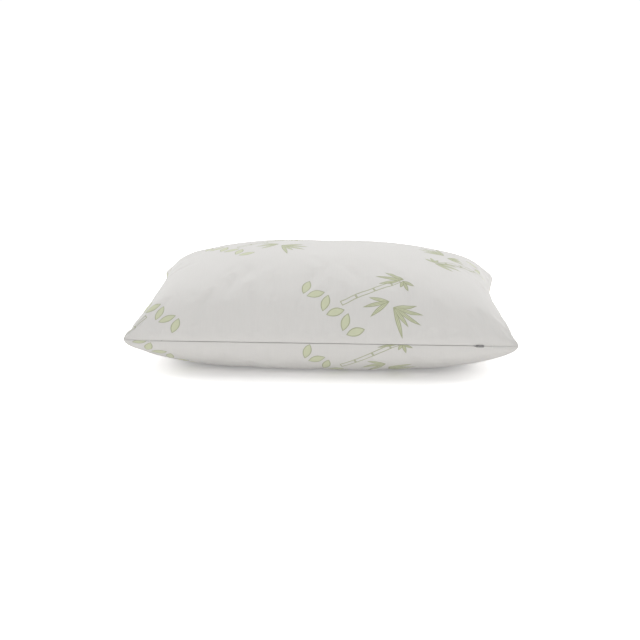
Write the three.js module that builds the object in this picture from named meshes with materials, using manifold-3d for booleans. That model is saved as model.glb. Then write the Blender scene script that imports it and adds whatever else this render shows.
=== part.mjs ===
// A bed pillow: clumps of shredded foam in a sewn liner, inside a knitted cover that opens by a concealed
// zip along its front edge. The pillow lies on a flat surface, plumped up, with its zip closed.
//
// Millimetres, +Z up. The origin is the middle of the footprint, on the surface that the pillow lies on.
// +X runs along the zip, towards the end where the slider rests when the cover is closed, and -Y is the
// front, the zipped side.
//
// Every soft layer is the same shape, set in from the last one. u and v run from -1 to 1 across the flat
// cut; a = sin(u * 90 deg) and b = sin(v * 90 deg) place a point in plan, and a product of powers of the
// two cosines lifts it, which gives pointed corners and round, nearly upright edges between them.

import * as THREE from "three";
import { mergeVertices } from "three/addons/utils/BufferGeometryUtils.js";
import Module from "manifold-3d";

// ---- Driving dimensions ----------------------------------------------------------------------------

const tipLength = 720; // from corner tip to corner tip along the zip
const tipDepth = 470; // from corner tip to corner tip across the zip
const loft = 200; // height of the crown above the surface
const seamHeight = 67; // height of the seam, midway along each edge
const tipRise = 8; // how much higher the corner tips stand
const sidePull = 26; // how far the two short edges are drawn in between the corners
const edgePull = 22; // how far the two long edges are drawn in
const topFullness = 0.83; // power of the cosines on the upper half; less is boxier
const underFullness = 0.72; // the same, on the underside
const underDrop = 33; // how far below the surface the underside would hang if nothing held it up
const footRounding = 14; // height over which the underside rounds off into its flat foot

const coverThickness = 1.2;
const coverSeamGap = 0.3; // between the two panels where they are sewn together
const coverAllowance = 8; // width of the seam allowance, turned inside
const linerThickness = 0.6;
const linerSeamGap = 0.3;
const linerAllowance = 6;
const linerRoom = 14; // how far the liner's seam is set in from the cover's
const layerGap = 0.4; // between one soft layer and the next, at the crown and the foot
const fillRoom = 9; // how far the fill is set in from the liner's seam

const lipGap = 1.6; // the slit between the two folded edges over the zip
const slitFromTip = 60; // from each end of the straight, slit stretch of the front edge to the corner tip
const hemWidth = 10; // the folded edge that the tape is sewn to
const hemThickness = 2.6;
const pieceGap = 0.3; // between hard pieces that lie against each other

const tapeThickness = 0.5;
const tapeHalfWidth = 13;
const tapeOverrun = 12; // tape past each end of the slit
const tapeEndRoom = 3; // from the tape's end to where the slit has closed
const tapeSplit = 0.9; // from the chain's middle to the tape's inner edge
const tapeBendStart = 4.6; // where the tape turns forward to its hem, and where it gets there
const tapeBendEnd = 6.6;
const coilWidth = 1.95;
const coilThickness = 1.4;
const coilSplit = 0.55; // from the chain's middle to each coil, which leaves the slider's web a way through
const chainRoom = 9; // from each end of the slit to the end of the chain
const stopLength = 3;
const stitchThickness = 0.4;
const stitchAt = 9; // from the chain's middle to each row of stitching

const sliderLength = 11;
const sliderHalfWidth = 3.7;
const wingThickness = 0.7;
const flangeThickness = 0.7;
const tapeSlot = 1.5; // the gap between the slider's flanges that a tape runs in
const webThickness = 0.5;
const webLength = 2;
const sliderStopRoom = 0.5; // from the slider to the end of the chain, zip closed
const bridgeThickness = 1;
const bridgeHalfLength = 3.6;
const bridgeBar = 0.8; // thickness of the bridge's outer bar
const eyeHalfLength = 2.4; // the window in the bridge that the pull's crossbar hangs in
const eyeHeight = 1.5;
const pullLength = 14; // from the pull's axis to its tip
const pullHalfWidth = 2.2;
const pullThickness = 0.9;
const crossbarRadius = 0.5;
const pullClearance = 0.4; // between the pull and the sides and ends of the bridge

const tackLength = 7; // a bar tack stands across the slit at each end of it
const tackWidth = 2;
const tackThickness = 0.6;
const tackFromSlit = 14; // from the end of the slit

const overlockThickness = 0.5;
const overlockFromSeam = 3.5; // between a seam and the binding over its raw edges
const overlockEndRoom = 0.93; // share of each edge, from its middle, that the binding covers
const cornerSeamFromTip = 14; // the binding on the sewn ends of the front seam stops this far from the tip

const stationPitch = 43; // rough length of a facet along the cover's long edges
const clumpColumns = 4;
const clumpRows = 3;
const clumpGap = 0.8;
const clumpJitter = 14; // how far the corners of the clumps stray from a plain grid

// ---- Sizes that follow ---------------------------------------------------------------------------

const half = { x: tipLength / 2, y: tipDepth / 2 };
const frontFace = -(half.y - edgePull); // y of the straight stretch of the front edge
const slitHalf = half.x - slitFromTip;
const straightShare = slitHalf / half.x;
const chainHalf = slitHalf - chainRoom;
const tapeHalfLength = slitHalf + tapeOverrun;
const slitClosed = tapeHalfLength + tapeEndRoom; // from the middle to where the slit has closed
const cornerSeamStart = slitClosed + coverAllowance;
const underDepth = seamHeight + underDrop;

// Depths behind the front face, from the hem inwards to the back of the slider.
const depth = {};
depth.tapeOnHem = hemThickness + pieceGap;
depth.outerWing = hemThickness + 0.4;
depth.coil = depth.outerWing + wingThickness + 0.4;
depth.tapeOnCoil = depth.coil + coilThickness + pieceGap;
depth.slotStart = depth.tapeOnCoil - (tapeSlot - tapeThickness) / 2;
depth.innerWing = depth.slotStart + tapeSlot;
depth.sliderBack = depth.innerWing + wingThickness;
depth.eye = -(eyeHeight + pieceGap); // the outer side of the bridge's window
depth.bridgeFront = depth.eye - bridgeBar;
depth.pullAxis = depth.eye + eyeHeight / 2;
const sliderRest = chainHalf - sliderStopRoom - sliderLength / 2;

const cover = {
  outer: { inset: 0, crown: 0, rim: 0 },
  inner: { inset: coverThickness, crown: coverThickness, rim: coverThickness },
  seamGap: coverSeamGap,
};
const linerCrown = coverThickness + layerGap;
const liner = {
  outer: { inset: linerRoom, crown: linerCrown, rim: 0 },
  inner: { inset: linerRoom + linerThickness, crown: linerCrown + linerThickness, rim: linerThickness },
  seamGap: linerSeamGap,
};
const fill = { inset: linerRoom + fillRoom, crown: linerCrown + linerThickness + layerGap, rim: 0 };

// ---- Materials -------------------------------------------------------------------------------------

const material = (color, roughness, metalness = 0) =>
  new THREE.MeshStandardMaterial({ color, roughness, metalness });
const knit = material(0xf0eeea, 0.9);
const zipCloth = material(0xe9e8e4, 0.85);
const nylon = material(0xdcdcd8, 0.45);
const dieCast = material(0x8f9092, 0.35, 0.9);
const thread = material(0xe4e2db, 0.8);
const linerCloth = material(0xf4f4f2, 0.95);
const foam = material(0xf3e7c6, 0.95);

// ---- The pillow's form -----------------------------------------------------------------------------

const clamp = (x, low, high) => Math.min(high, Math.max(low, x));
const smooth = (t) => t * t * (3 - 2 * t);
const quarterTurn = Math.PI / 2;

// A place on the cut, as its sines and cosines.
function placeAt(u, v) {
  return {
    a: Math.sin(u * quarterTurn),
    b: Math.sin(v * quarterTurn),
    cosU: Math.abs(Math.cos(u * quarterTurn)),
    cosV: Math.abs(Math.cos(v * quarterTurn)),
  };
}

// How far a place lies past the slit, from 0 there to 1 at the corner tips.
const pastSlit = ({ a }) => clamp((Math.abs(a) - straightShare) / (1 - straightShare), 0, 1);

// x and y of a place. The short edges and the back edge are drawn in as arcs; the front edge is straight
// along the zip and flares out to the corners past its ends.
function planOf(place, inset) {
  const { a, b } = place;
  const drawnIn = edgePull * (b < 0 ? 1 - pastSlit(place) ** 2 : 1 - a * a);
  return {
    x: a * (half.x - sidePull * (1 - b * b)) * (1 - inset / half.x),
    y: b * (half.y - drawnIn) * (1 - inset / half.y),
  };
}

// The seam is level, and rises a little into the corner tips.
const seamLevel = (place) => seamHeight + tipRise * pastSlit(place) ** 2 * place.b ** 4;

// Half the opening between the two panels: the slit over the zip, and a sewn seam everywhere else.
function halfGap(place, seamGap, slit) {
  if (!slit || place.b > -0.999) return seamGap / 2;
  const past = clamp((Math.abs(place.a) * half.x - slitHalf) / (slitClosed - slitHalf), 0, 1);
  return (lipGap + (seamGap - lipGap) * smooth(past)) / 2;
}

// Rounds a falling height off into a flat floor at 0.
function onFloor(height) {
  if (height <= -footRounding) return 0;
  return height >= footRounding ? height : (height + footRounding) ** 2 / (4 * footRounding);
}

// Height of a place on one layer; side is 1 for the upper half and -1 for the underside. A layer that lies
// further in stands back from the seam at its rim and from the outside at its crown. The change from one to
// the other follows the square root of the lift, so the walls never pass through each other.
function heightOf(place, layer, side, gap) {
  const seam = seamLevel(place) + side * gap;
  const cosines = place.cosU * place.cosV;
  const rise = cosines ** (side > 0 ? topFullness : underFullness);
  const run = side > 0 ? loft - seam : underDepth;
  const setBack = layer.rim - (layer.rim + layer.crown) * Math.sqrt(rise);
  const height = seam + side * (run * rise + setBack);
  return side > 0 ? height : layer.crown + onFloor(height - layer.crown);
}

// ---- Mesh building ---------------------------------------------------------------------------------

function geometryOf(points, faces) {
  return new THREE.BufferGeometry()
    .setAttribute("position", new THREE.Float32BufferAttribute(points.flat(), 3))
    .setIndex(faces.flat());
}

const spread = (from, to, steps) =>
  Array.from({ length: steps + 1 }, (_, k) => from + ((to - from) * k) / steps);
const uAt = (x) => Math.asin(x / half.x) / quarterTurn;

// The places where the lines across the cut, at every u and every v, meet, and the order of its rim,
// anticlockwise from above.
function gridOf(us, vs) {
  const [columns, rows] = [us.length - 1, vs.length - 1];
  const index = (i, j) => i * (rows + 1) + j;
  const places = us.flatMap((u) => vs.map((v) => placeAt(u, v)));
  const faces = [];
  for (let i = 0; i < columns; i += 1)
    for (let j = 0; j < rows; j += 1) {
      const [p, q, r, s] = [index(i, j), index(i + 1, j), index(i + 1, j + 1), index(i, j + 1)];
      const outward = i < columns / 2 === j < rows / 2; // each cell is split towards its own corner tip
      faces.push(...(outward ? [[p, q, r], [p, r, s]] : [[p, q, s], [q, r, s]]));
    }
  const rim = [];
  for (let i = 0; i < columns; i += 1) rim.push(index(i, 0));
  for (let j = 0; j < rows; j += 1) rim.push(index(columns, j));
  for (let i = columns; i > 0; i -= 1) rim.push(index(i, rows));
  for (let j = rows; j > 0; j -= 1) rim.push(index(0, j));
  return { places, faces, rim };
}

const turned = ([p, q, r]) => [p, r, q];

// One panel of a bag: an outer and an inner skin, joined round the rim by the turned-in seam allowance.
// The cover's front edge has no flat allowance along the zip, where a hem takes its place.
function panelGeometry(bag, side, grid, allowance, slit) {
  const { places, faces, rim } = grid;
  const skin = (layer) =>
    places.map((place) => {
      const { x, y } = planOf(place, layer.inset);
      return [x, y, heightOf(place, layer, side, halfGap(place, bag.seamGap, slit))];
    });
  const lipReach = bag.inner.inset + 0.5;
  const allowanceAt = (place) => {
    if (!slit || place.b > -0.999) return allowance;
    const past = clamp((Math.abs(place.a) * half.x - slitClosed) / (cornerSeamStart - slitClosed), 0, 1);
    return lipReach + (allowance - lipReach) * past;
  };
  const edge = (layer) =>
    rim.map((k) => {
      const { x, y } = planOf(places[k], bag.outer.inset + allowanceAt(places[k]));
      const level = seamLevel(places[k]);
      return [x, y, level + side * (halfGap(places[k], bag.seamGap, slit) + layer.rim)];
    });
  const points = [...skin(bag.outer), ...skin(bag.inner), ...edge(bag.outer), ...edge(bag.inner)];
  const count = places.length;
  const made = faces.flatMap((f) => [f, turned(f).map((k) => k + count)]);
  rim.forEach((p, k) => {
    const next = (k + 1) % rim.length;
    const here = [p, 2 * count + k, 2 * count + rim.length + k, p + count];
    const there = [rim[next], 2 * count + next, 2 * count + rim.length + next, rim[next] + count];
    for (let s = 0; s < 3; s += 1)
      made.push([there[s], here[s], here[s + 1]], [there[s], here[s + 1], there[s + 1]]);
  });
  return geometryOf(points, side > 0 ? made : made.map(turned));
}

// The whole fill: an upper and a lower skin that meet at one rim.
function fillGeometry({ places, faces, rim }) {
  const onRim = new Set(rim);
  const points = [];
  const skin = (side) =>
    places.map((place, k) => {
      if (side < 0 && onRim.has(k)) return k;
      const { x, y } = planOf(place, fill.inset);
      return points.push([x, y, heightOf(place, fill, side, 0)]) - 1;
    });
  const [upper, lower] = [skin(1), skin(-1)];
  const made = faces.flatMap((f) => [f.map((k) => upper[k]), turned(f).map((k) => lower[k])]);
  return geometryOf(points, made);
}

// A closed bar of one section swept through a row of stations that runs anticlockwise round the pillow.
// The section's points are [distance in from the edge, height over the seam], anticlockwise too.
function sweptGeometry(stations, section, closed = false) {
  const points = stations.flatMap((place) =>
    section.map(([inset, rise]) => {
      const { x, y } = planOf(place, inset);
      return [x, y, seamLevel(place) + rise];
    }),
  );
  const n = section.length;
  const faces = [];
  const spans = closed ? stations.length : stations.length - 1;
  for (let i = 0; i < spans; i += 1)
    for (let j = 0; j < n; j += 1) {
      const [p, q] = [i * n + j, i * n + ((j + 1) % n)];
      const [r, s] = [p, q].map((k) => (k + n) % points.length);
      faces.push([p, q, s], [p, s, r]);
    }
  if (!closed) {
    const end = THREE.ShapeUtils.triangulateShape(section.map(([x, y]) => new THREE.Vector2(x, y)), []);
    const last = (stations.length - 1) * n;
    for (const face of end) faces.push(turned(face), face.map((k) => k + last));
  }
  return geometryOf(points, faces);
}

// A section in y and z, extruded along x.
function alongX(outline, from, to) {
  const shape = new THREE.Shape(outline.map(([y, z]) => new THREE.Vector2(y, z)));
  const made = new THREE.ExtrudeGeometry(shape, { depth: to - from, bevelEnabled: false });
  const axes = new THREE.Matrix4().makeBasis(
    new THREE.Vector3(0, 1, 0),
    new THREE.Vector3(0, 0, 1),
    new THREE.Vector3(1, 0, 0),
  );
  return made.applyMatrix4(axes).translate(from, 0, 0);
}

// A box between two corners.
function boxBetween([x0, y0, z0], [x1, y1, z1]) {
  const made = new THREE.BoxGeometry(Math.abs(x1 - x0), Math.abs(y1 - y0), Math.abs(z1 - z0));
  return made.translate((x0 + x1) / 2, (y0 + y1) / 2, (z0 + z1) / 2);
}

// ---- Cutting and joining ---------------------------------------------------------------------------

const wasm = await Module();
wasm.setup();

function solidOf(geometry) {
  const bare = geometry.clone();
  bare.deleteAttribute("normal");
  bare.deleteAttribute("uv");
  const merged = mergeVertices(bare, 1e-4);
  return new wasm.Manifold(
    new wasm.Mesh({
      numProp: 3,
      vertProperties: merged.attributes.position.array,
      triVerts: new Uint32Array(merged.index.array),
    }),
  );
}

function geometryFrom(solid) {
  const mesh = solid.getMesh();
  return new THREE.BufferGeometry()
    .setAttribute("position", new THREE.BufferAttribute(mesh.vertProperties, 3))
    .setIndex(new THREE.BufferAttribute(mesh.triVerts, 1));
}

const joined = (...geometries) => geometryFrom(geometries.map(solidOf).reduce((sum, next) => sum.add(next)));

// ---- Cover and liner -------------------------------------------------------------------------------

const pillow = new THREE.Group();

function add(name, geometry, look) {
  const mesh = new THREE.Mesh(geometry, look);
  mesh.name = name;
  pillow.add(mesh);
  return mesh;
}

// Height of a point over or under the middle of the zip.
const zipLevel = (side, distance) => seamHeight + side * distance;

// The cover's lines across the cut, which fall on the ends of the slit and are closer at its edges.
function coverGrid() {
  const corner = [uAt(slitClosed), ...spread(uAt(cornerSeamStart), 1, 5)];
  const cells = 2 * Math.round(slitHalf / stationPitch);
  const slit = spread(-uAt(slitHalf), uAt(slitHalf), cells);
  const us = [...corner.map((u) => -u).reverse(), ...slit, ...corner];
  const edge = [0.92, 0.96, 1];
  const vs = [...edge.map((v) => -v).reverse(), ...spread(-0.86, 0.86, 14), ...edge];
  return gridOf(us, vs);
}

function coverPanel(side) {
  const panel = panelGeometry(cover, side, coverGrid(), coverAllowance, true);
  const hemStart = coverThickness / 2;
  const hem = boxBetween(
    [-slitHalf, frontFace + hemStart, zipLevel(side, lipGap / 2)],
    [slitHalf, frontFace + hemThickness, zipLevel(side, lipGap / 2 + hemWidth)],
  );
  return joined(panel, hem);
}

// The section of the thread that binds the raw edges of two allowances: a channel lying on its side.
function overlockSection(seamInset, allowance, thickness, seamGap) {
  const stack = seamGap / 2 + thickness + pieceGap;
  const start = seamInset + overlockFromSeam;
  const end = seamInset + allowance + pieceGap;
  const [outer, back] = [stack + overlockThickness, end + overlockThickness];
  return [
    [start, stack],
    [end, stack],
    [end, -stack],
    [start, -stack],
    [start, -outer],
    [back, -outer],
    [back, outer],
    [start, outer],
  ];
}

function addCover() {
  add("cover_top_panel", coverPanel(1), knit);
  add("cover_bottom_panel", coverPanel(-1), knit);

  const section = overlockSection(0, coverAllowance, coverThickness, coverSeamGap);
  const reach = overlockEndRoom;
  const side = (u, sign) => spread(-sign * reach, sign * reach, 14).map((v) => placeAt(u, v));
  add("right_seam_overlock", sweptGeometry(side(1, 1), section), thread);
  add("left_seam_overlock", sweptGeometry(side(-1, -1), section), thread);
  const backSpans = Math.round((1.2 * tipLength) / stationPitch);
  const back = spread(reach, -reach, backSpans).map((u) => placeAt(u, 1));
  add("back_seam_overlock", sweptGeometry(back, section), thread);

  // The two sewn ends of the front seam, between the zip and the corners.
  const cornerSeamEnd = half.x - cornerSeamFromTip;
  const front = (from, to) => spread(uAt(from), uAt(to), 4).map((u) => placeAt(u, -1));
  add("front_left_seam_overlock", sweptGeometry(front(-cornerSeamEnd, -cornerSeamStart), section), thread);
  add("front_right_seam_overlock", sweptGeometry(front(cornerSeamStart, cornerSeamEnd), section), thread);
}

const plainGrid = gridOf(spread(-1, 1, 16), spread(-1, 1, 12));

function addLiner() {
  add("liner_top_panel", panelGeometry(liner, 1, plainGrid, linerAllowance, false), linerCloth);
  add("liner_bottom_panel", panelGeometry(liner, -1, plainGrid, linerAllowance, false), linerCloth);
  const { places, rim } = plainGrid;
  const section = overlockSection(linerRoom, linerAllowance, linerThickness, linerSeamGap);
  add("liner_seam_overlock", sweptGeometry(rim.map((k) => places[k]), section, true), thread);
}

// ---- Fill ------------------------------------------------------------------------------------------

// Corners of the clumps in plan: a grid whose inner corners stray a little, so that no two clumps match.
function clumpCorner(i, j, layer) {
  const inside = i > 0 && i < clumpColumns && j > 0 && j < clumpRows;
  const stray = inside ? clumpJitter : 0;
  const turn = 2.4 * i + 4.1 * j + 1.7 * layer;
  return new THREE.Vector2(
    ((2 * i) / clumpColumns - 1) * half.x + stray * Math.sin(turn),
    ((2 * j) / clumpRows - 1) * half.y + stray * Math.cos(1.9 * turn),
  );
}

// One clump's cell: a four-cornered prism, drawn in by half the gap all round.
function clumpCell(i, j, layer) {
  const corners = [[i, j], [i + 1, j], [i + 1, j + 1], [i, j + 1]].map(([p, q]) => clumpCorner(p, q, layer));
  const middle = corners.reduce((sum, p) => sum.add(p.clone().divideScalar(4)), new THREE.Vector2());
  const width = tipLength / clumpColumns;
  const drawn = corners.map((p) => p.clone().sub(middle).multiplyScalar(1 - clumpGap / width).add(middle));
  const split = (loft + seamHeight) / 3;
  const [low, high] = layer ? [split + clumpGap / 2, loft] : [0, split - clumpGap / 2];
  const prism = new THREE.ExtrudeGeometry(new THREE.Shape(drawn), { depth: high - low, bevelEnabled: false });
  return prism.translate(0, 0, low);
}

function addFill() {
  const whole = solidOf(fillGeometry(plainGrid));
  let number = 0;
  for (let layer = 0; layer < 2; layer += 1)
    for (let j = 0; j < clumpRows; j += 1)
      for (let i = 0; i < clumpColumns; i += 1) {
        number += 1;
        const clump = whole.intersect(solidOf(clumpCell(i, j, layer)));
        add(`foam_clump_${String(number).padStart(2, "0")}`, geometryFrom(clump), foam);
      }
}

// ---- Zip -------------------------------------------------------------------------------------------

// One half of the zip: tape, coil, stitching and end stop. side is 1 above the slit and -1 below it.
function addZipHalf(side, name) {
  const y = (behind) => frontFace + behind;
  const z = (distance) => zipLevel(side, distance);
  const tape = [
    [y(depth.tapeOnCoil), z(tapeSplit)],
    [y(depth.tapeOnCoil), z(tapeBendStart)],
    [y(depth.tapeOnHem), z(tapeBendEnd)],
    [y(depth.tapeOnHem), z(tapeHalfWidth)],
    [y(depth.tapeOnHem + tapeThickness), z(tapeHalfWidth)],
    [y(depth.tapeOnHem + tapeThickness), z(tapeBendEnd)],
    [y(depth.tapeOnCoil + tapeThickness), z(tapeBendStart)],
    [y(depth.tapeOnCoil + tapeThickness), z(tapeSplit)],
  ];
  add(`${name}_zip_tape`, alongX(tape, -tapeHalfLength, tapeHalfLength), zipCloth);

  const coilFront = y(depth.coil);
  const coilBack = y(depth.coil + coilThickness);
  add(
    `${name}_zip_coil`,
    boxBetween([-chainHalf, coilFront, z(coilSplit)], [chainHalf, coilBack, z(coilSplit + coilWidth)]),
    nylon,
  );
  const stopStart = chainHalf + pieceGap;
  add(
    `${name}_zip_top_stop`,
    boxBetween(
      [stopStart, coilFront, z(tapeSplit)],
      [stopStart + stopLength, coilBack, z(coilSplit + coilWidth)],
    ),
    dieCast,
  );
  const stitchFront = y(depth.tapeOnHem + tapeThickness + pieceGap);
  add(
    `${name}_tape_stitching`,
    boxBetween(
      [-slitHalf, stitchFront, z(stitchAt)],
      [slitHalf, stitchFront + stitchThickness, z(stitchAt + stitchThickness)],
    ),
    thread,
  );
}

// The clip that joins the two coils where the zip starts.
function addBottomStop() {
  const reach = coilSplit + coilWidth;
  const start = -chainHalf - pieceGap;
  const clip = boxBetween(
    [start - stopLength, frontFace + depth.coil, zipLevel(-1, reach)],
    [start, frontFace + depth.coil + coilThickness, zipLevel(1, reach)],
  );
  add("zip_bottom_stop", clip, dieCast);
}

// The slider: two wings with flanges round the chain, a web between them, and a bridge that stands out
// through the slit. It is made at x = 0.
function sliderGeometry() {
  const reach = sliderLength / 2;
  const y = (behind) => frontFace + behind;
  const wing = (front) =>
    boxBetween(
      [-reach, y(front), zipLevel(-1, sliderHalfWidth)],
      [reach, y(front + wingThickness), zipLevel(1, sliderHalfWidth)],
    );
  const flange = (side) =>
    boxBetween(
      [-reach, y(depth.outerWing), zipLevel(side, sliderHalfWidth - flangeThickness)],
      [reach, y(depth.slotStart), zipLevel(side, sliderHalfWidth)],
    );
  const webEnd = reach - 0.5;
  const web = boxBetween(
    [webEnd - webLength, y(depth.outerWing), zipLevel(-1, webThickness / 2)],
    [webEnd, y(depth.sliderBack), zipLevel(1, webThickness / 2)],
  );
  return joined(wing(depth.outerWing), wing(depth.innerWing), flange(1), flange(-1), web, bridgeGeometry());
}

// The bridge: a plate on edge, with rounded outer corners and a window for the pull's crossbar.
function bridgeGeometry() {
  const y = (behind) => frontFace + behind;
  const round = 1;
  const root = y(depth.outerWing + wingThickness / 2);
  const shape = new THREE.Shape();
  shape.moveTo(-bridgeHalfLength, root);
  shape.lineTo(-bridgeHalfLength, y(depth.bridgeFront) + round);
  shape.absarc(-bridgeHalfLength + round, y(depth.bridgeFront) + round, round, Math.PI, 1.5 * Math.PI);
  shape.absarc(bridgeHalfLength - round, y(depth.bridgeFront) + round, round, 1.5 * Math.PI, 2 * Math.PI);
  shape.lineTo(bridgeHalfLength, root);
  const eye = new THREE.Path();
  eye.moveTo(-eyeHalfLength, y(depth.eye));
  eye.lineTo(-eyeHalfLength, y(depth.eye + eyeHeight));
  eye.lineTo(eyeHalfLength, y(depth.eye + eyeHeight));
  eye.lineTo(eyeHalfLength, y(depth.eye));
  shape.holes.push(eye);
  const cut = { depth: bridgeThickness, bevelEnabled: false, curveSegments: 4 };
  const plate = new THREE.ExtrudeGeometry(shape, cut);
  return plate.translate(0, 0, seamHeight - bridgeThickness / 2);
}

// The pull: a flat tab with a slot for the bridge, closed by a round crossbar that the tab turns on. It is
// made about its own axis, which is z through its origin, and points along +x.
function pullGeometry() {
  const slotHalf = bridgeThickness / 2 + pullClearance;
  const bridgeCorner = Math.hypot(bridgeHalfLength, depth.pullAxis - depth.bridgeFront);
  const slotEnd = bridgeCorner + pullClearance;
  const tipRound = pullHalfWidth;
  const shape = new THREE.Shape();
  shape.moveTo(0, -pullHalfWidth);
  shape.lineTo(pullLength - tipRound, -pullHalfWidth);
  shape.absarc(pullLength - tipRound, 0, tipRound, -quarterTurn, quarterTurn);
  shape.lineTo(0, pullHalfWidth);
  shape.lineTo(0, slotHalf);
  shape.lineTo(slotEnd, slotHalf);
  shape.lineTo(slotEnd, -slotHalf);
  shape.lineTo(0, -slotHalf);
  const cut = { depth: pullThickness, bevelEnabled: false, curveSegments: 6 };
  const plate = new THREE.ExtrudeGeometry(shape, cut);
  plate.translate(0, 0, -pullThickness / 2).rotateX(quarterTurn);
  const crossbar = new THREE.CylinderGeometry(crossbarRadius, crossbarRadius, 2 * pullHalfWidth, 12);
  return joined(plate, crossbar.rotateX(quarterTurn));
}

// A bar tack: a short bar of thread across the end of the slit, lying on the flared front edge.
function addBarTack(name, end) {
  const x = slitHalf + tackFromSlit;
  const past = tackFromSlit / slitFromTip;
  const flare = edgePull * past * past;
  const slope = (2 * edgePull * past) / slitFromTip;
  const tack = add(name, new THREE.BoxGeometry(tackWidth, tackThickness, tackLength), thread);
  const stand = 2 * pieceGap + tackThickness / 2;
  tack.position.set(end * x, frontFace - flare - stand, seamHeight);
  tack.rotation.z = -end * Math.atan(slope);
}

function addZip() {
  addZipHalf(1, "upper");
  addZipHalf(-1, "lower");
  addBottomStop();
  addBarTack("left_bar_tack", -1);
  addBarTack("right_bar_tack", 1);
  add("zip_slider_body", sliderGeometry(), dieCast).position.x = sliderRest;
  const pull = add("zip_pull_tab", pullGeometry(), dieCast);
  pull.position.set(sliderRest, frontFace + depth.pullAxis, seamHeight);
}

addCover();
addLiner();
addFill();
addZip();

export default pillow;
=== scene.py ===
"""A bed pillow, plumped up and lying flat: knitted cover with a concealed zip, liner, and torn foam.

Lengths are metres, in the frame's own axes: +X along the zip towards the end where the slider rests,
-Y the zipped front, +Z up, and the origin in the middle of the footprint.

Every soft layer is one form, set in from the last. A place on it has two parameters, u along the zip and
v across it, from -1 to 1. In plan it lies at the sines of a quarter turn times u and v. Its height leaves
the seam's height at the edge by powers of the two cosines.
"""

import logging
import math
from dataclasses import dataclass, field
from enum import Enum
from typing import Any, Mapping, Sequence

import bmesh
import bpy
import numpy as np
from mathutils import Matrix, Vector


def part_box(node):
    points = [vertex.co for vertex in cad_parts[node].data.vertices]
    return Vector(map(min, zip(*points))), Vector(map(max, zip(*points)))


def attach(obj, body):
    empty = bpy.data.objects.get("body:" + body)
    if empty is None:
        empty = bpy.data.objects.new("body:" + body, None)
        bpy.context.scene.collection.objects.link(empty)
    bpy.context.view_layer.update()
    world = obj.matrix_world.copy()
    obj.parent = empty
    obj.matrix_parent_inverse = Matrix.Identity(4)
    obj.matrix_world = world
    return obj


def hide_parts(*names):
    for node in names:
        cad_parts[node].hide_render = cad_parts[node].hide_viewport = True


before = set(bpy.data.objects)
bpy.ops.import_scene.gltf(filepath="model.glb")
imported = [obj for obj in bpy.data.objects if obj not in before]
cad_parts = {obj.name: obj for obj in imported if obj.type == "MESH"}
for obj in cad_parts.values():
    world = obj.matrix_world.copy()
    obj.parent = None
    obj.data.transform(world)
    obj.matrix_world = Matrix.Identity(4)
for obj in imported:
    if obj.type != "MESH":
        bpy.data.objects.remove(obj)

log = logging.getLogger("pillow")

Colour = tuple[float, float, float]
Floats = np.ndarray

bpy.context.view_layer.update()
QUARTER_TURN = math.pi / 2
AT_EDGE = 0.9999
WHITE = (1.0, 1.0, 1.0)


# ---- Shader building ---------------------------------------------------------------------------------


class Sock:
    """A number that flows between shader nodes. Arithmetic on it adds Math nodes."""

    def __init__(self, graph: "Graph", socket: bpy.types.NodeSocket) -> None:
        """Wraps an output socket of one of the graph's nodes."""
        self.graph = graph
        self.socket = socket

    def __add__(self, other: "Sock | float") -> "Sock":
        """Returns self + other."""
        return self.graph.maths("ADD", self, other)

    __radd__ = __add__

    def __sub__(self, other: "Sock | float") -> "Sock":
        """Returns self - other."""
        return self.graph.maths("SUBTRACT", self, other)

    def __rsub__(self, other: float) -> "Sock":
        """Returns other - self."""
        return self.graph.maths("SUBTRACT", other, self)

    def __mul__(self, other: "Sock | float") -> "Sock":
        """Returns self * other."""
        return self.graph.maths("MULTIPLY", self, other)

    __rmul__ = __mul__

    def __truediv__(self, other: "Sock | float") -> "Sock":
        """Returns self / other."""
        return self.graph.maths("DIVIDE", self, other)

    def __abs__(self) -> "Sock":
        """Returns the size of self."""
        return self.graph.maths("ABSOLUTE", self)


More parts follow.
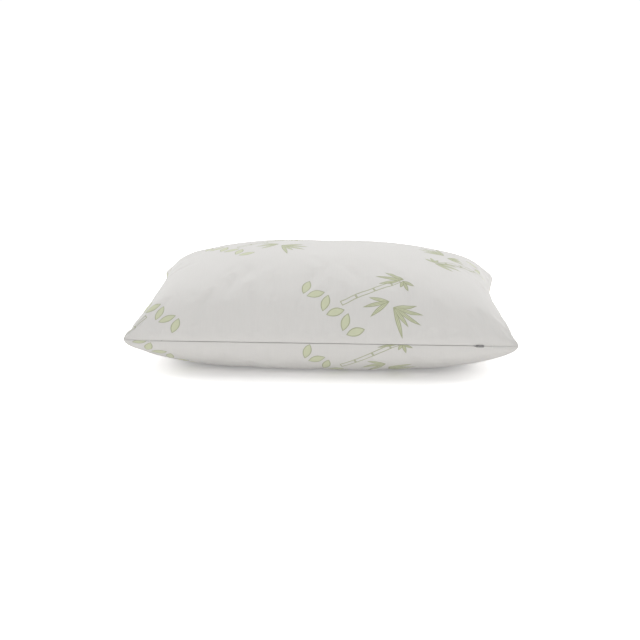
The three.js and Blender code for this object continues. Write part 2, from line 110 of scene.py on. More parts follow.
class Graph:
    """A material's node tree, and short ways to add to it."""

    def __init__(self, name: str) -> None:
        """Starts an empty material.

        Args:
            name: the material's name.
        """
        self.material = bpy.data.materials.new(name)
        self.material.use_nodes = True
        self.tree = self.material.node_tree
        self.tree.nodes.clear()

    def node(
        self,
        kind: str,
        settings: Mapping[str, Any] | None = None,
        inputs: Mapping[str | int, Any] | None = None,
        output: str | int = 0,
    ) -> Sock | None:
        """Adds one node.

        Args:
            kind: the node's type, without its ShaderNode prefix.
            settings: the node's own properties, which are set first.
            inputs: a value or a Sock for each input socket, by name or number.
            output: the output that is wanted.

        Returns:
            The output as a Sock, or None for a node that has no output.
        """
        made = self.tree.nodes.new("ShaderNode" + kind)
        for key, value in (settings or {}).items():
            setattr(made, key, value)
        for key, value in (inputs or {}).items():
            if isinstance(value, Sock):
                self.tree.links.new(value.socket, made.inputs[key])
            else:
                made.inputs[key].default_value = value
        return Sock(self, made.outputs[output]) if len(made.outputs) else None

    def maths(self, operation: str, *values: Sock | float) -> Sock:
        """Adds a Math node.

        Args:
            operation: its operation.
            values: its inputs, in order.

        Returns:
            The result.
        """
        return self.node("Math", {"operation": operation}, dict(enumerate(values)))

    def smooth(self, value: Sock, low: float, high: float) -> Sock:
        """Adds a smooth step.

        Args:
            value: the number to test.
            low: where the rise starts.
            high: where it ends.

        Returns:
            0 where value is under low, 1 where it is over high, and a smooth rise between.
        """
        return self.node(
            "MapRange",
            {"interpolation_type": "SMOOTHSTEP"},
            {"Value": value, "From Min": low, "From Max": high, "To Min": 0.0, "To Max": 1.0},
        )

    def clamp(self, value: Sock, low: float, high: float) -> Sock:
        """Returns value, held between low and high."""
        return self.node("Clamp", None, {"Value": value, "Min": low, "Max": high})

    def hypot(self, x: Sock, y: Sock) -> Sock:
        """Returns the length of the pair."""
        return self.maths("SQRT", x * x + y * y)

    def vector(self, x: Sock, y: Sock) -> Sock:
        """Returns two numbers as a vector whose third is 0."""
        return self.node("CombineXYZ", None, {"X": x, "Y": y})

    def split(self, vector: Sock) -> tuple[Sock, Sock, Sock]:
        """Returns a vector's three numbers."""
        first = self.node("SeparateXYZ", None, {"Vector": vector})
        outputs = first.socket.node.outputs
        return tuple(Sock(self, outputs[k]) for k in range(3))

    def cloth_place(self) -> tuple[Sock, Sock]:
        """Returns the place on the flat cloth, in metres, from the piece's UV map."""
        s, t, _ = self.split(self.node("TexCoord", output="UV"))
        return s, t

    def object_place(self) -> Sock:
        """Returns the place in the piece's own space, in metres."""
        return self.node("TexCoord", output="Object")

    def noise(self, place: Sock, size: float, detail: float = 2.0, roughness: float = 0.5) -> Sock:
        """Returns even noise from 0 to 1.

        Args:
            place: where, in metres.
            size: the size of its blotches, in metres.
            detail: how many finer layers it has.
            roughness: how strong they are.

        Returns:
            The noise.
        """
        return self.node(
            "TexNoise",
            None,
            {"Vector": place, "Scale": 1 / size, "Detail": detail, "Roughness": roughness},
        )

    def mix(self, factor: Sock, first: Sock | Colour, second: Sock | Colour) -> Sock:
        """Returns a colour between first, at factor 0, and second, at factor 1."""
        ends = [c if isinstance(c, Sock) else (*c, 1.0) for c in (first, second)]
        return self.node("Mix", {"data_type": "RGBA"}, {0: factor, 6: ends[0], 7: ends[1]}, output=2)

    def shade(self, colour: Sock | Colour, amount: Sock) -> Sock:
        """Makes a colour brighter or darker.

        Args:
            colour: the colour.
            amount: what it is multiplied by.

        Returns:
            The new colour.
        """
        tone = self.node("CombineColor", None, {"Red": amount, "Green": amount, "Blue": amount})
        base = colour if isinstance(colour, Sock) else (*colour, 1.0)
        return self.node(
            "Mix", {"data_type": "RGBA", "blend_type": "MULTIPLY"}, {0: 1.0, 6: base, 7: tone}, output=2
        )

    def bump(self, height: Sock) -> Sock:
        """Returns the normal of a surface that stands proud by height, in metres."""
        return self.node("Bump", None, {"Strength": 1.0, "Distance": 1.0, "Height": height})

    def finish(self, **inputs: Any) -> bpy.types.Material:
        """Ends the tree in a Principled surface.

        Args:
            inputs: its sockets' values, with _ for each space in a name.

        Returns:
            The material.
        """
        named = {key.replace("_", " "): value for key, value in inputs.items()}
        if isinstance(named["Base Color"], tuple):
            named["Base Color"] = (*named["Base Color"], 1.0)
        surface = self.node("BsdfPrincipled", None, named)
        self.node("OutputMaterial", None, {"Surface": surface})
        return self.material


# ---- Finishes ----------------------------------------------------------------------------------------


@dataclass(frozen=True)
class Fan:
    """Leaves that radiate from a hub. Angles are degrees."""

    hub: tuple[float, float]
    middle: float
    step: float
    each_side: int
    length: float
    half_width: float


@dataclass(frozen=True)
class LeafPrint:
    """The knitted-in motif: a jointed stem with sprays of narrow leaves, and a garland beside it.

    Lengths are metres on the flat cloth. The motif repeats on a staggered grid, and every second one in a
    row is turned half round.
    """

    origin: tuple[float, float] = (0.070, -0.187)
    column_pitch: float = 0.405
    row_pitch: float = 0.195
    row_shift: float = 0.200
    line: float = 0.0011
    fill_edge: tuple[float, float] = (-0.0002, 0.0005)
    rib_margin: tuple[float, float] = (0.0010, 0.0020)
    rib_thinning: float = 0.0003
    length_spread: float = 0.18
    stem_start: tuple[float, float] = (-0.036, 0.002)
    stem_angle: float = math.radians(28)
    stem_length: float = 0.112
    stem_half_width: float = 0.0036
    joint_pitch: float = 0.034
    joint_shift: float = 0.006
    joint_half_width: float = 0.0009
    fans: tuple[Fan, ...] = (
        Fan((0.049, -0.004), -33.0, 21.0, 2, 0.046, 0.0029),
        Fan((0.042, 0.007), -164.0, 27.0, 1, 0.038, 0.0029),
        Fan((0.070, 0.059), 174.0, 24.0, 1, 0.041, 0.0026),
        Fan((0.070, 0.055), -72.0, 42.0, 1, 0.019, 0.0024),
    )
    garland_start: tuple[float, float] = (-0.104, 0.044)
    garland_angle: float = math.radians(-45)
    garland_pitch: float = 0.0235
    garland_count: int = 6
    garland_lean: float = math.radians(28)
    garland_leaf: tuple[float, float] = (0.0150, 0.0066)

    @staticmethod
    def _toward(p: Sock, q: Sock, start: tuple[float, float], angle: float) -> tuple[Sock, Sock]:
        """Returns how far a place lies along, and to the left of, a ray from start."""
        dp, dq = p - start[0], q - start[1]
        c, s = math.cos(angle), math.sin(angle)
        return dp * c + dq * s, dq * c - dp * s

    def _fan(self, graph: Graph, p: Sock, q: Sock, fan: Fan) -> tuple[Sock, Sock]:
        """Works out a place's part in a fan.

        A leaf's half width is a parabola of the distance along it. The leaf that a place belongs to is its
        angle at the hub, rounded to whole steps. The leaves' lengths follow a sine of their numbers.

        Args:
            graph: the material's tree.
            p: the place along the cloth.
            q: the place across it.
            fan: the fan.

        Returns:
            How far inside a leaf the place is, and how far it is from the leaf's rib.
        """
        along, across = self._toward(p, q, fan.hub, math.radians(fan.middle))
        angle = graph.maths("ARCTAN2", across, along)
        turn = math.radians(fan.step)
        most = float(fan.each_side)
        index = graph.clamp(graph.maths("ROUND", angle / turn), -most, most)
        local = angle - index * turn
        radius = graph.hypot(along, across)
        reach = radius * graph.maths("COSINE", local)
        side = abs(radius * graph.maths("SINE", local))
        uneven = graph.maths("SINE", index * 2.3 + 0.6) * self.length_spread
        own_length = (uneven + 1.0) * fan.length
        share = reach / own_length
        return share * (1 - share) * (4 * fan.half_width) - side, side

    def masks(self, graph: Graph, s: Sock, t: Sock) -> tuple[Sock, Sock]:
        """Works out the motif at a place.

        Args:
            graph: the material's tree.
            s: the place along the zip, on the flat cloth.
            t: the place across it.

        Returns:
            Masks of the motif's fill and of its outlines, each from 0 to 1.
        """
        up = t - self.origin[1]
        row = graph.maths("ROUND", up / self.row_pitch)
        moved = s - self.origin[0] + row * self.row_shift
        column = graph.maths("ROUND", moved / self.column_pitch)
        turn = 1 - graph.maths("PINGPONG", column, 1.0) * 2
        p = (moved - column * self.column_pitch) * turn
        q = (up - row * self.row_pitch) * turn

        leaves, rib = self._fan(graph, p, q, self.fans[0])
        for fan in self.fans[1:]:
            more, more_rib = self._fan(graph, p, q, fan)
            leaves, rib = graph.maths("MAXIMUM", leaves, more), graph.maths("MINIMUM", rib, more_rib)
        stem_along, stem_across = self._toward(p, q, self.stem_start, self.stem_angle)
        stem = graph.maths("MINIMUM", self.stem_half_width - abs(stem_across), stem_along)
        stem = graph.maths("MINIMUM", stem, self.stem_length - stem_along)
        along_joint = graph.maths("PINGPONG", stem_along + self.joint_shift, self.joint_pitch / 2)
        joint = abs(along_joint - self.joint_half_width)
        garland = self._garland(graph, p, q)

        inside = graph.maths("MAXIMUM", leaves, garland)
        fill = graph.smooth(inside, *self.fill_edge)
        edge = graph.maths("MINIMUM", abs(inside), abs(stem))
        rib = rib + (1 - graph.smooth(leaves, *self.rib_margin)) * self.line
        rings = joint + (1 - graph.smooth(stem, -0.0004, 0.0004)) * self.line
        drawn = graph.maths("MINIMUM", graph.maths("MINIMUM", edge, rings), rib + self.rib_thinning)
        outline = 1 - graph.smooth(drawn, self.line * 0.35, self.line)
        return fill, outline

    def _garland(self, graph: Graph, p: Sock, q: Sock) -> Sock:
        """Works out a place's part in the garland: plump leaves in a row, leaning to and fro.

        A leaf's half width is a parabola of the distance from its middle.

        Args:
            graph: the material's tree.
            p: the place along the cloth.
            q: the place across it.

        Returns:
            How far inside a leaf the place is.
        """
        along, across = self._toward(p, q, self.garland_start, self.garland_angle)
        last = float(self.garland_count - 1)
        index = graph.clamp(graph.maths("FLOOR", along / self.garland_pitch), 0.0, last)
        own = along - (index + 0.5) * self.garland_pitch
        lean = 1 - graph.maths("PINGPONG", index, 1.0) * 2
        c, s = math.cos(self.garland_lean), math.sin(self.garland_lean)
        half_length, half_width = self.garland_leaf
        width = own * c + across * lean * s
        height = (across * c - own * lean * s) / half_length
        return (1 - height * height) * half_width - abs(width)


@dataclass(frozen=True)
class KnitFinish:
    """Fine white double knit with a pale leaf motif, slightly raised."""

    white: Colour = (0.782, 0.769, 0.746)
    fill: Colour = (0.655, 0.690, 0.455)
    outline: Colour = (0.430, 0.455, 0.270)
    motif: LeafPrint = LeafPrint()
    strength: tuple[float, float] = (0.80, 0.85)
    bead_pitch: tuple[float, float] = (0.0026, 0.0023)
    wale_size: float = 0.035
    wale_stretch: float = 14.0
    cloud_size: float = 0.09
    tones: tuple[float, float, float] = (0.05, 0.04, 0.010)
    bead_height: float = 0.00009
    motif_height: float = 0.00035
    wale_height: float = 0.00016

    def make(self) -> bpy.types.Material:
        """Returns the material. The stitches' beads are the product of a sine along and one across."""
        graph = Graph("cover_knit")
        s, t = graph.cloth_place()
        fill, outline = self.motif.masks(graph, s, t)
        turns = [2 * math.pi / pitch for pitch in self.bead_pitch]
        beads = graph.maths("SINE", s * turns[0]) * graph.maths("SINE", t * turns[1])
        wales = graph.noise(graph.vector(s * self.wale_stretch, t), self.wale_size, 3.0, 0.6)
        cloudy = graph.noise(graph.vector(s, t), self.cloud_size)
        by_wale, by_cloud, by_bead = self.tones
        # The beads' share of the tone is painted shade: lighter on each raised stitch and darker between the
        # stitches.
        tone = (wales - 0.5) * by_wale + (cloudy - 0.5) * by_cloud + beads * by_bead + 1.0
        filled = graph.mix(fill * self.strength[0], self.white, self.fill)
        printed = graph.mix(outline * self.strength[1], filled, self.outline)
        raised = (fill - outline * 0.9) * self.motif_height
        height = beads * self.bead_height + raised + (wales - 0.5) * self.wale_height
        return graph.finish(
            Base_Color=graph.shade(printed, tone),
            Roughness=0.86 + (wales - 0.5) * 0.10 - fill * 0.10,
            Normal=graph.bump(height),
            Specular_IOR_Level=0.28,
            Sheen_Weight=0.36,
            Sheen_Roughness=0.42,
        )


@dataclass(frozen=True)
class LinerFinish:
    """Brushed white microfibre."""

    white: Colour = (0.86, 0.86, 0.85)
    thread_pitch: float = 0.0018
    thread_height: float = 0.00003
    nap_size: float = 0.004
    nap_height: float = 0.0003

    def make(self) -> bpy.types.Material:
        """Returns the material."""
        graph = Graph("liner_cloth")
        s, t = graph.cloth_place()
        turn = 2 * math.pi / self.thread_pitch
        weave = graph.maths("SINE", s * turn) * graph.maths("SINE", t * turn)
        nap = graph.noise(graph.vector(s, t), self.nap_size, 4.0, 0.65)
        # The weave's share of the colour is painted shade: lighter on the raised threads and darker between
        # them.
        return graph.finish(
            Base_Color=graph.shade(self.white, (nap - 0.5) * 0.12 + weave * 0.01 + 1.0),
            Roughness=0.90 + (nap - 0.5) * 0.1,
            Normal=graph.bump(weave * self.thread_height + nap * self.nap_height),
            Specular_IOR_Level=0.2,
            Sheen_Weight=0.35,
            Sheen_Roughness=0.6,
        )


@dataclass(frozen=True)
class FoamFinish:
    """Torn open-cell foam: cream, matt and full of small pores, with painted shade in them."""

    cream: Colour = (0.86, 0.78, 0.56)
    pale: Colour = (0.90, 0.87, 0.76)
    patch_size: float = 0.045
    pore_size: float = 0.0022
    pore_depth: float = 0.0005
    dent_size: float = 0.006
    dent_depth: float = 0.0012

    def make(self) -> bpy.types.Material:
        """Returns the material."""
        graph = Graph("foam")
        place = graph.object_place()
        patch = graph.smooth(graph.noise(place, self.patch_size), 0.42, 0.58)
        pores = graph.node("TexVoronoi", None, {"Vector": place, "Scale": 1 / self.pore_size})
        pitted = graph.smooth(pores, 0.15, 0.55)
        dents = graph.noise(place, self.dent_size, 3.0)
        # The pits are painted up to 16 percent darker in the base colour: painted shade in the pores, which
        # the bump also sinks.
        return graph.finish(
            Base_Color=graph.shade(graph.mix(patch, self.cream, self.pale), 1.02 - pitted * 0.16),
            Roughness=0.95 - pitted * 0.05,
            Normal=graph.bump(pitted * -self.pore_depth + dents * self.dent_depth),
            Specular_IOR_Level=0.15,
        )


@dataclass(frozen=True)
class TapeFinish:
    """Woven polyester zip tape, in a fine herringbone."""

    white: Colour = (0.80, 0.79, 0.77)
    yarn_pitch: float = 0.0010
    yarn_height: float = 0.00006
    zigzag_width: float = 0.0022
    worn_size: float = 0.01

    def make(self) -> bpy.types.Material:
        """Returns the material."""
        graph = Graph("zip_cloth")
        s, t = graph.cloth_place()
        zigzag = graph.maths("PINGPONG", t, self.zigzag_width)
        ribs = graph.maths("SINE", (s + zigzag) * (2 * math.pi / self.yarn_pitch))
        worn = graph.noise(graph.vector(s, t), self.worn_size, 3.0)
        # The ribs add painted shade to the colour: 3 percent lighter on the raised yarns and darker between
        # them.
        return graph.finish(
            Base_Color=graph.shade(self.white, ribs * 0.03 + (worn - 0.5) * 0.06 + 1.0),
            Roughness=0.80 + (worn - 0.5) * 0.1,
            Normal=graph.bump(ribs * self.yarn_height),
            Specular_IOR_Level=0.3,
            Sheen_Weight=0.1,
        )


@dataclass(frozen=True)
class ThreadFinish:
    """Two-ply polyester sewing thread: its plies wind round it."""

    white: Colour = (0.82, 0.81, 0.78)
    ply_pitch: float = 0.0009
    ply_height: float = 0.00004
    fuzz_size: float = 0.0012

    def make(self) -> bpy.types.Material:
        """Returns the material. The UV map runs along the thread in metres, and once round it."""
        graph = Graph("sewing_thread")
        along, around = graph.cloth_place()
        plies = graph.maths("SINE", along * (2 * math.pi / self.ply_pitch) + around * (4 * math.pi))
        fuzz = graph.noise(graph.object_place(), self.fuzz_size, 3.0)
        # The plies add painted shade to the colour: 5 percent lighter on each crest and darker in the
        # grooves between them.
        return graph.finish(
            Base_Color=graph.shade(self.white, plies * 0.05 + (fuzz - 0.5) * 0.1 + 1.0),
            Roughness=0.62 + (fuzz - 0.5) * 0.2,
            Normal=graph.bump(plies * self.ply_height),
            Specular_IOR_Level=0.4,
            Sheen_Weight=0.1,
        )


@dataclass(frozen=True)
class NylonFinish:
    """Satin white nylon filament."""

    white: Colour = (0.78, 0.78, 0.76)
    scuff_size: float = 0.003
    scuff_depth: float = 0.00003

    def make(self) -> bpy.types.Material:
        """Returns the material."""
        graph = Graph("zip_nylon")
        scuffs = graph.noise(graph.object_place(), self.scuff_size, 3.0)
        return graph.finish(
            Base_Color=graph.shade(self.white, (scuffs - 0.5) * 0.06 + 1.0),
            Roughness=0.34 + (scuffs - 0.5) * 0.2,
            Normal=graph.bump(scuffs * self.scuff_depth),
            Specular_IOR_Level=0.5,
        )


@dataclass(frozen=True)
class MetalFinish:
    """Die-cast zip metal with a gunmetal plate, paler where fingers rub it."""

    grey: Colour = (0.22, 0.22, 0.225)
    rubbed: Colour = (0.34, 0.33, 0.32)
    rub_size: float = 0.004
    grain_size: float = 0.0006
    grain_height: float = 0.00002

    def make(self) -> bpy.types.Material:
        """Returns the material."""
        graph = Graph("zip_metal")
        place = graph.object_place()
        rub = graph.smooth(graph.noise(place, self.rub_size, 3.0), 0.45, 0.65)
        grain = graph.noise(place, self.grain_size)
        return graph.finish(
            Base_Color=graph.mix(rub, self.grey, self.rubbed),
            Metallic=0.95,
            Roughness=0.30 + rub * 0.14 + (grain - 0.5) * 0.08,
            Normal=graph.bump(grain * self.grain_height),
        )


@dataclass(frozen=True)
class FloorFinish:
    """A plain white studio floor that glows for the camera, and so is pure white well clear of the pillow.

    The glow rises with the distance past a rectangle under the pillow, from near_glow to glow.
    """

    white: Colour = (0.93, 0.92, 0.91)
    shaded: tuple[float, float] = (0.18, 0.126)
    fade: float = 0.30
    near_glow: float = 0.16
    glow: float = 0.9

    def make(self) -> bpy.types.Material:
        """Returns the material."""
        graph = Graph("studio_floor")
        x, y, _ = graph.split(graph.object_place())
        past = [graph.maths("MAXIMUM", abs(k) - size, 0.0) for k, size in zip((x, y), self.shaded)]
        clear = graph.smooth(graph.hypot(*past), 0.0, self.fade)
        seen = graph.node("LightPath", output="Is Camera Ray")
        glow = (clear * (self.glow - self.near_glow) + self.near_glow) * seen
        white = graph.shade(WHITE, glow)
        return graph.finish(
            Base_Color=self.white,
            Roughness=0.9,
            Specular_IOR_Level=0.0,
            Emission_Color=white,
            Emission_Strength=1.0,
        )


class Slot(Enum):
    """The record's finish slots, each with the finish that fills it."""

    COVER = ("cover_knit", KnitFinish())
    LINER = ("liner_cloth", LinerFinish())
    FOAM = ("foam", FoamFinish())
    TAPE = ("zip_cloth", TapeFinish())
    THREAD = ("sewing_thread", ThreadFinish())
    NYLON = ("zip_nylon", NylonFinish())
    METAL = ("zip_metal", MetalFinish())


class Wardrobe:
    """Makes each finish once, and dresses pieces in it."""

    def __init__(self) -> None:
        """Starts with nothing made."""
        self._made: dict[Slot, bpy.types.Material] = {}

    def dress(self, piece: bpy.types.Object, slot: Slot) -> None:
        """Gives a piece its finish, which is made once for its slot.

        Args:
            piece: the piece.
            slot: its slot.
        """
        name, finish = slot.value
        if slot not in self._made:
            self._made[slot] = finish.make()
        piece.data.materials.clear()
        piece.data.materials.append(self._made[slot])


# ---- Mesh building -----------------------------------------------------------------------------------


def mesh_piece(name: str, points: Floats, faces: Floats, uv: Floats | None = None) -> bpy.types.Object:
    """Makes a smooth-shaded mesh object at the origin.

    Args:
        name: the piece's name.
        points: its vertices, one row each.
        faces: its faces, one row of vertex numbers each, all with as many corners.
        uv: a place on the flat cloth for each vertex.

    Returns:
        The object, linked to the scene.
    """
    mesh = bpy.data.meshes.new(name)
    sides = faces.shape[1]
    mesh.vertices.add(len(points))
    mesh.vertices.foreach_set("co", np.ascontiguousarray(points, dtype=np.float32).ravel())
    mesh.loops.add(faces.size)
    mesh.loops.foreach_set("vertex_index", faces.astype(np.int32).ravel())
    mesh.polygons.add(len(faces))
    mesh.polygons.foreach_set("loop_start", np.arange(0, faces.size, sides, dtype=np.int32))
    mesh.polygons.foreach_set("use_smooth", np.ones(len(faces), dtype=bool))
    if uv is not None:
        layer = mesh.uv_layers.new(name="UVMap")
        layer.data.foreach_set("uv", uv[faces.ravel()].astype(np.float32).ravel())
    mesh.update(calc_edges=True)
    mesh.validate()
    piece = bpy.data.objects.new(name, mesh)
    bpy.context.scene.collection.objects.link(piece)
    return piece


def grid_faces(rows: int, columns: int, wrap_columns: bool = False) -> Floats:
    """Quads between the vertices of a grid, stored row by row.

    Args:
        rows: vertices in the first direction.
        columns: vertices in the second.
        wrap_columns: whether the last column joins the first.

    Returns:
        One row of four vertex numbers for each quad, anticlockwise where the first direction runs along x
        and the second along y.
    """
    i = np.arange(rows - 1)[:, None]
    j = np.arange(columns if wrap_columns else columns - 1)[None, :]
    i1, j1 = i + 1, (j + 1) % columns
    corners = np.broadcast_arrays(i * columns + j, i1 * columns + j, i1 * columns + j1, i * columns + j1)
    return np.stack(corners, axis=-1).reshape(-1, 4)


def cloth_wall(piece: bpy.types.Object, thickness: float) -> None:
    """Gives a single layer of cloth its thickness, inwards from its faces.

    Args:
        piece: the layer.
        thickness: how thick the cloth is.
    """
    wall = piece.modifiers.new("cloth_wall", "SOLIDIFY")
    wall.thickness = thickness
    wall.offset = -1.0
    wall.use_even_offset = False


TUBE_TIP = 0.05
ROUND_STEPS = 12


def tube_piece(
    name: str, path: Floats, radius: float, side_hint: Floats, sides: int = 6
) -> bpy.types.Object:
    """Makes a round thread or filament along a path, closed at both ends.

    At each point the ring lies in the plane of two directions: the first is square to the path and to
    side_hint, and the second is square to the path and to the first. The ring is radius times the cosine
    and the sine of the angle round it along those two. The rings at the ends are shrunk to TUBE_TIP of it.

    Args:
        name: the piece's name.
        path: its middle line, one row for each point.
        radius: its radius.
        side_hint: a direction, one row or one for each point, that the path is never parallel to.
        sides: how many sides it has.

    Returns:
        The object.
    """
    tangent = np.gradient(path, axis=0)
    tangent /= np.linalg.norm(tangent, axis=1, keepdims=True)
    first = np.cross(tangent, np.broadcast_to(side_hint, path.shape))
    first /= np.linalg.norm(first, axis=1, keepdims=True)
    second = np.cross(tangent, first)
    angle = np.linspace(0, 2 * math.pi, sides, endpoint=False)
    cosine, sine = np.cos(angle)[None, :, None], np.sin(angle)[None, :, None]
    ring = cosine * first[:, None, :] + sine * second[:, None, :]
    shrink = np.ones(len(path))
    shrink[[0, -1]] = TUBE_TIP
    points = path[:, None, :] + radius * shrink[:, None, None] * ring
    length = np.concatenate([[0], np.cumsum(np.linalg.norm(np.diff(path, axis=0), axis=1))])
    uv = np.stack(np.broadcast_arrays(length[:, None], angle[None, :] / (2 * math.pi)), axis=-1)
    ends = np.stack([path[0], path[-1]])
    count = len(path) * sides
    k = np.arange(sides)
    following = (k + 1) % sides
    last = count - sides
    start_cap = np.stack([k, following, np.full(sides, count)], axis=1)
    end_cap = np.stack([last + following, last + k, np.full(sides, count + 1)], axis=1)
    piece = mesh_piece(
        name,
        np.concatenate([points.reshape(-1, 3), ends]),
        grid_faces(len(path), sides, wrap_columns=True),
        np.concatenate([uv.reshape(-1, 2), [[0, 0], [length[-1], 0]]]),
    )
    cap_ends(piece, start_cap, end_cap)
    return piece


def cap_ends(piece: bpy.types.Object, *caps: Floats) -> None:
    """Closes a tube's ends with triangles, and turns its faces outwards.

    Args:
        piece: the tube.
        caps: rows of three vertex numbers, for each end.
    """
    shape = bmesh.new()
    shape.from_mesh(piece.data)
    shape.verts.ensure_lookup_table()
    for face in np.concatenate(caps):
        made = shape.faces.new([shape.verts[int(k)] for k in face])
        made.smooth = True
    bmesh.ops.recalc_face_normals(shape, faces=shape.faces)
    shape.to_mesh(piece.data)
    shape.free()


MERGE_DISTANCE = 1e-6
FLAT_ANGLE = math.radians(3)
ROUNDED_ANGLE = math.radians(25)
CREASED_ANGLE = math.radians(35)


def softened_copy(node: str, name: str, edge: float) -> bpy.types.Object:
    """Copies a hard piece of the frame, and rounds its sharp edges.

    Args:
        node: the frame's node.
        name: the new piece's name.
        edge: how far each edge is rounded.

    Returns:
        The object. Its flat faces are whole, not cut into triangles.
    """
    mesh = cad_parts[node].data.copy()
    mesh.name = name
    shape = bmesh.new()
    shape.from_mesh(mesh)
    bmesh.ops.remove_doubles(shape, verts=shape.verts, dist=MERGE_DISTANCE)
    bmesh.ops.dissolve_limit(shape, angle_limit=FLAT_ANGLE, verts=shape.verts, edges=shape.edges)
    bmesh.ops.recalc_face_normals(shape, faces=shape.faces)
    shape.to_mesh(mesh)
    shape.free()
    piece = bpy.data.objects.new(name, mesh)
    bpy.context.scene.collection.objects.link(piece)
    rounding = piece.modifiers.new("rounded_edges", "BEVEL")
    rounding.width = edge
    rounding.segments = 3
    rounding.limit_method = "ANGLE"
    rounding.angle_limit = ROUNDED_ANGLE
    mesh.polygons.foreach_set("use_smooth", np.ones(len(mesh.polygons), dtype=bool))
    mesh.set_sharp_from_angle(angle=CREASED_ANGLE)
    return piece


def middle(node: str) -> Vector:
    """Returns the middle of a node's box."""
    low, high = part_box(node)
    return (Vector(low) + Vector(high)) / 2


# ---- The pillow's form -------------------------------------------------------------------------------


class Side(Enum):
    """The two halves of every layer."""

    TOP = 1
    BOTTOM = -1


@dataclass(frozen=True)
class Layer:
    """How far a layer is set in from the outside of the cover."""

    inset: float = 0.0
    crown: float = 0.0


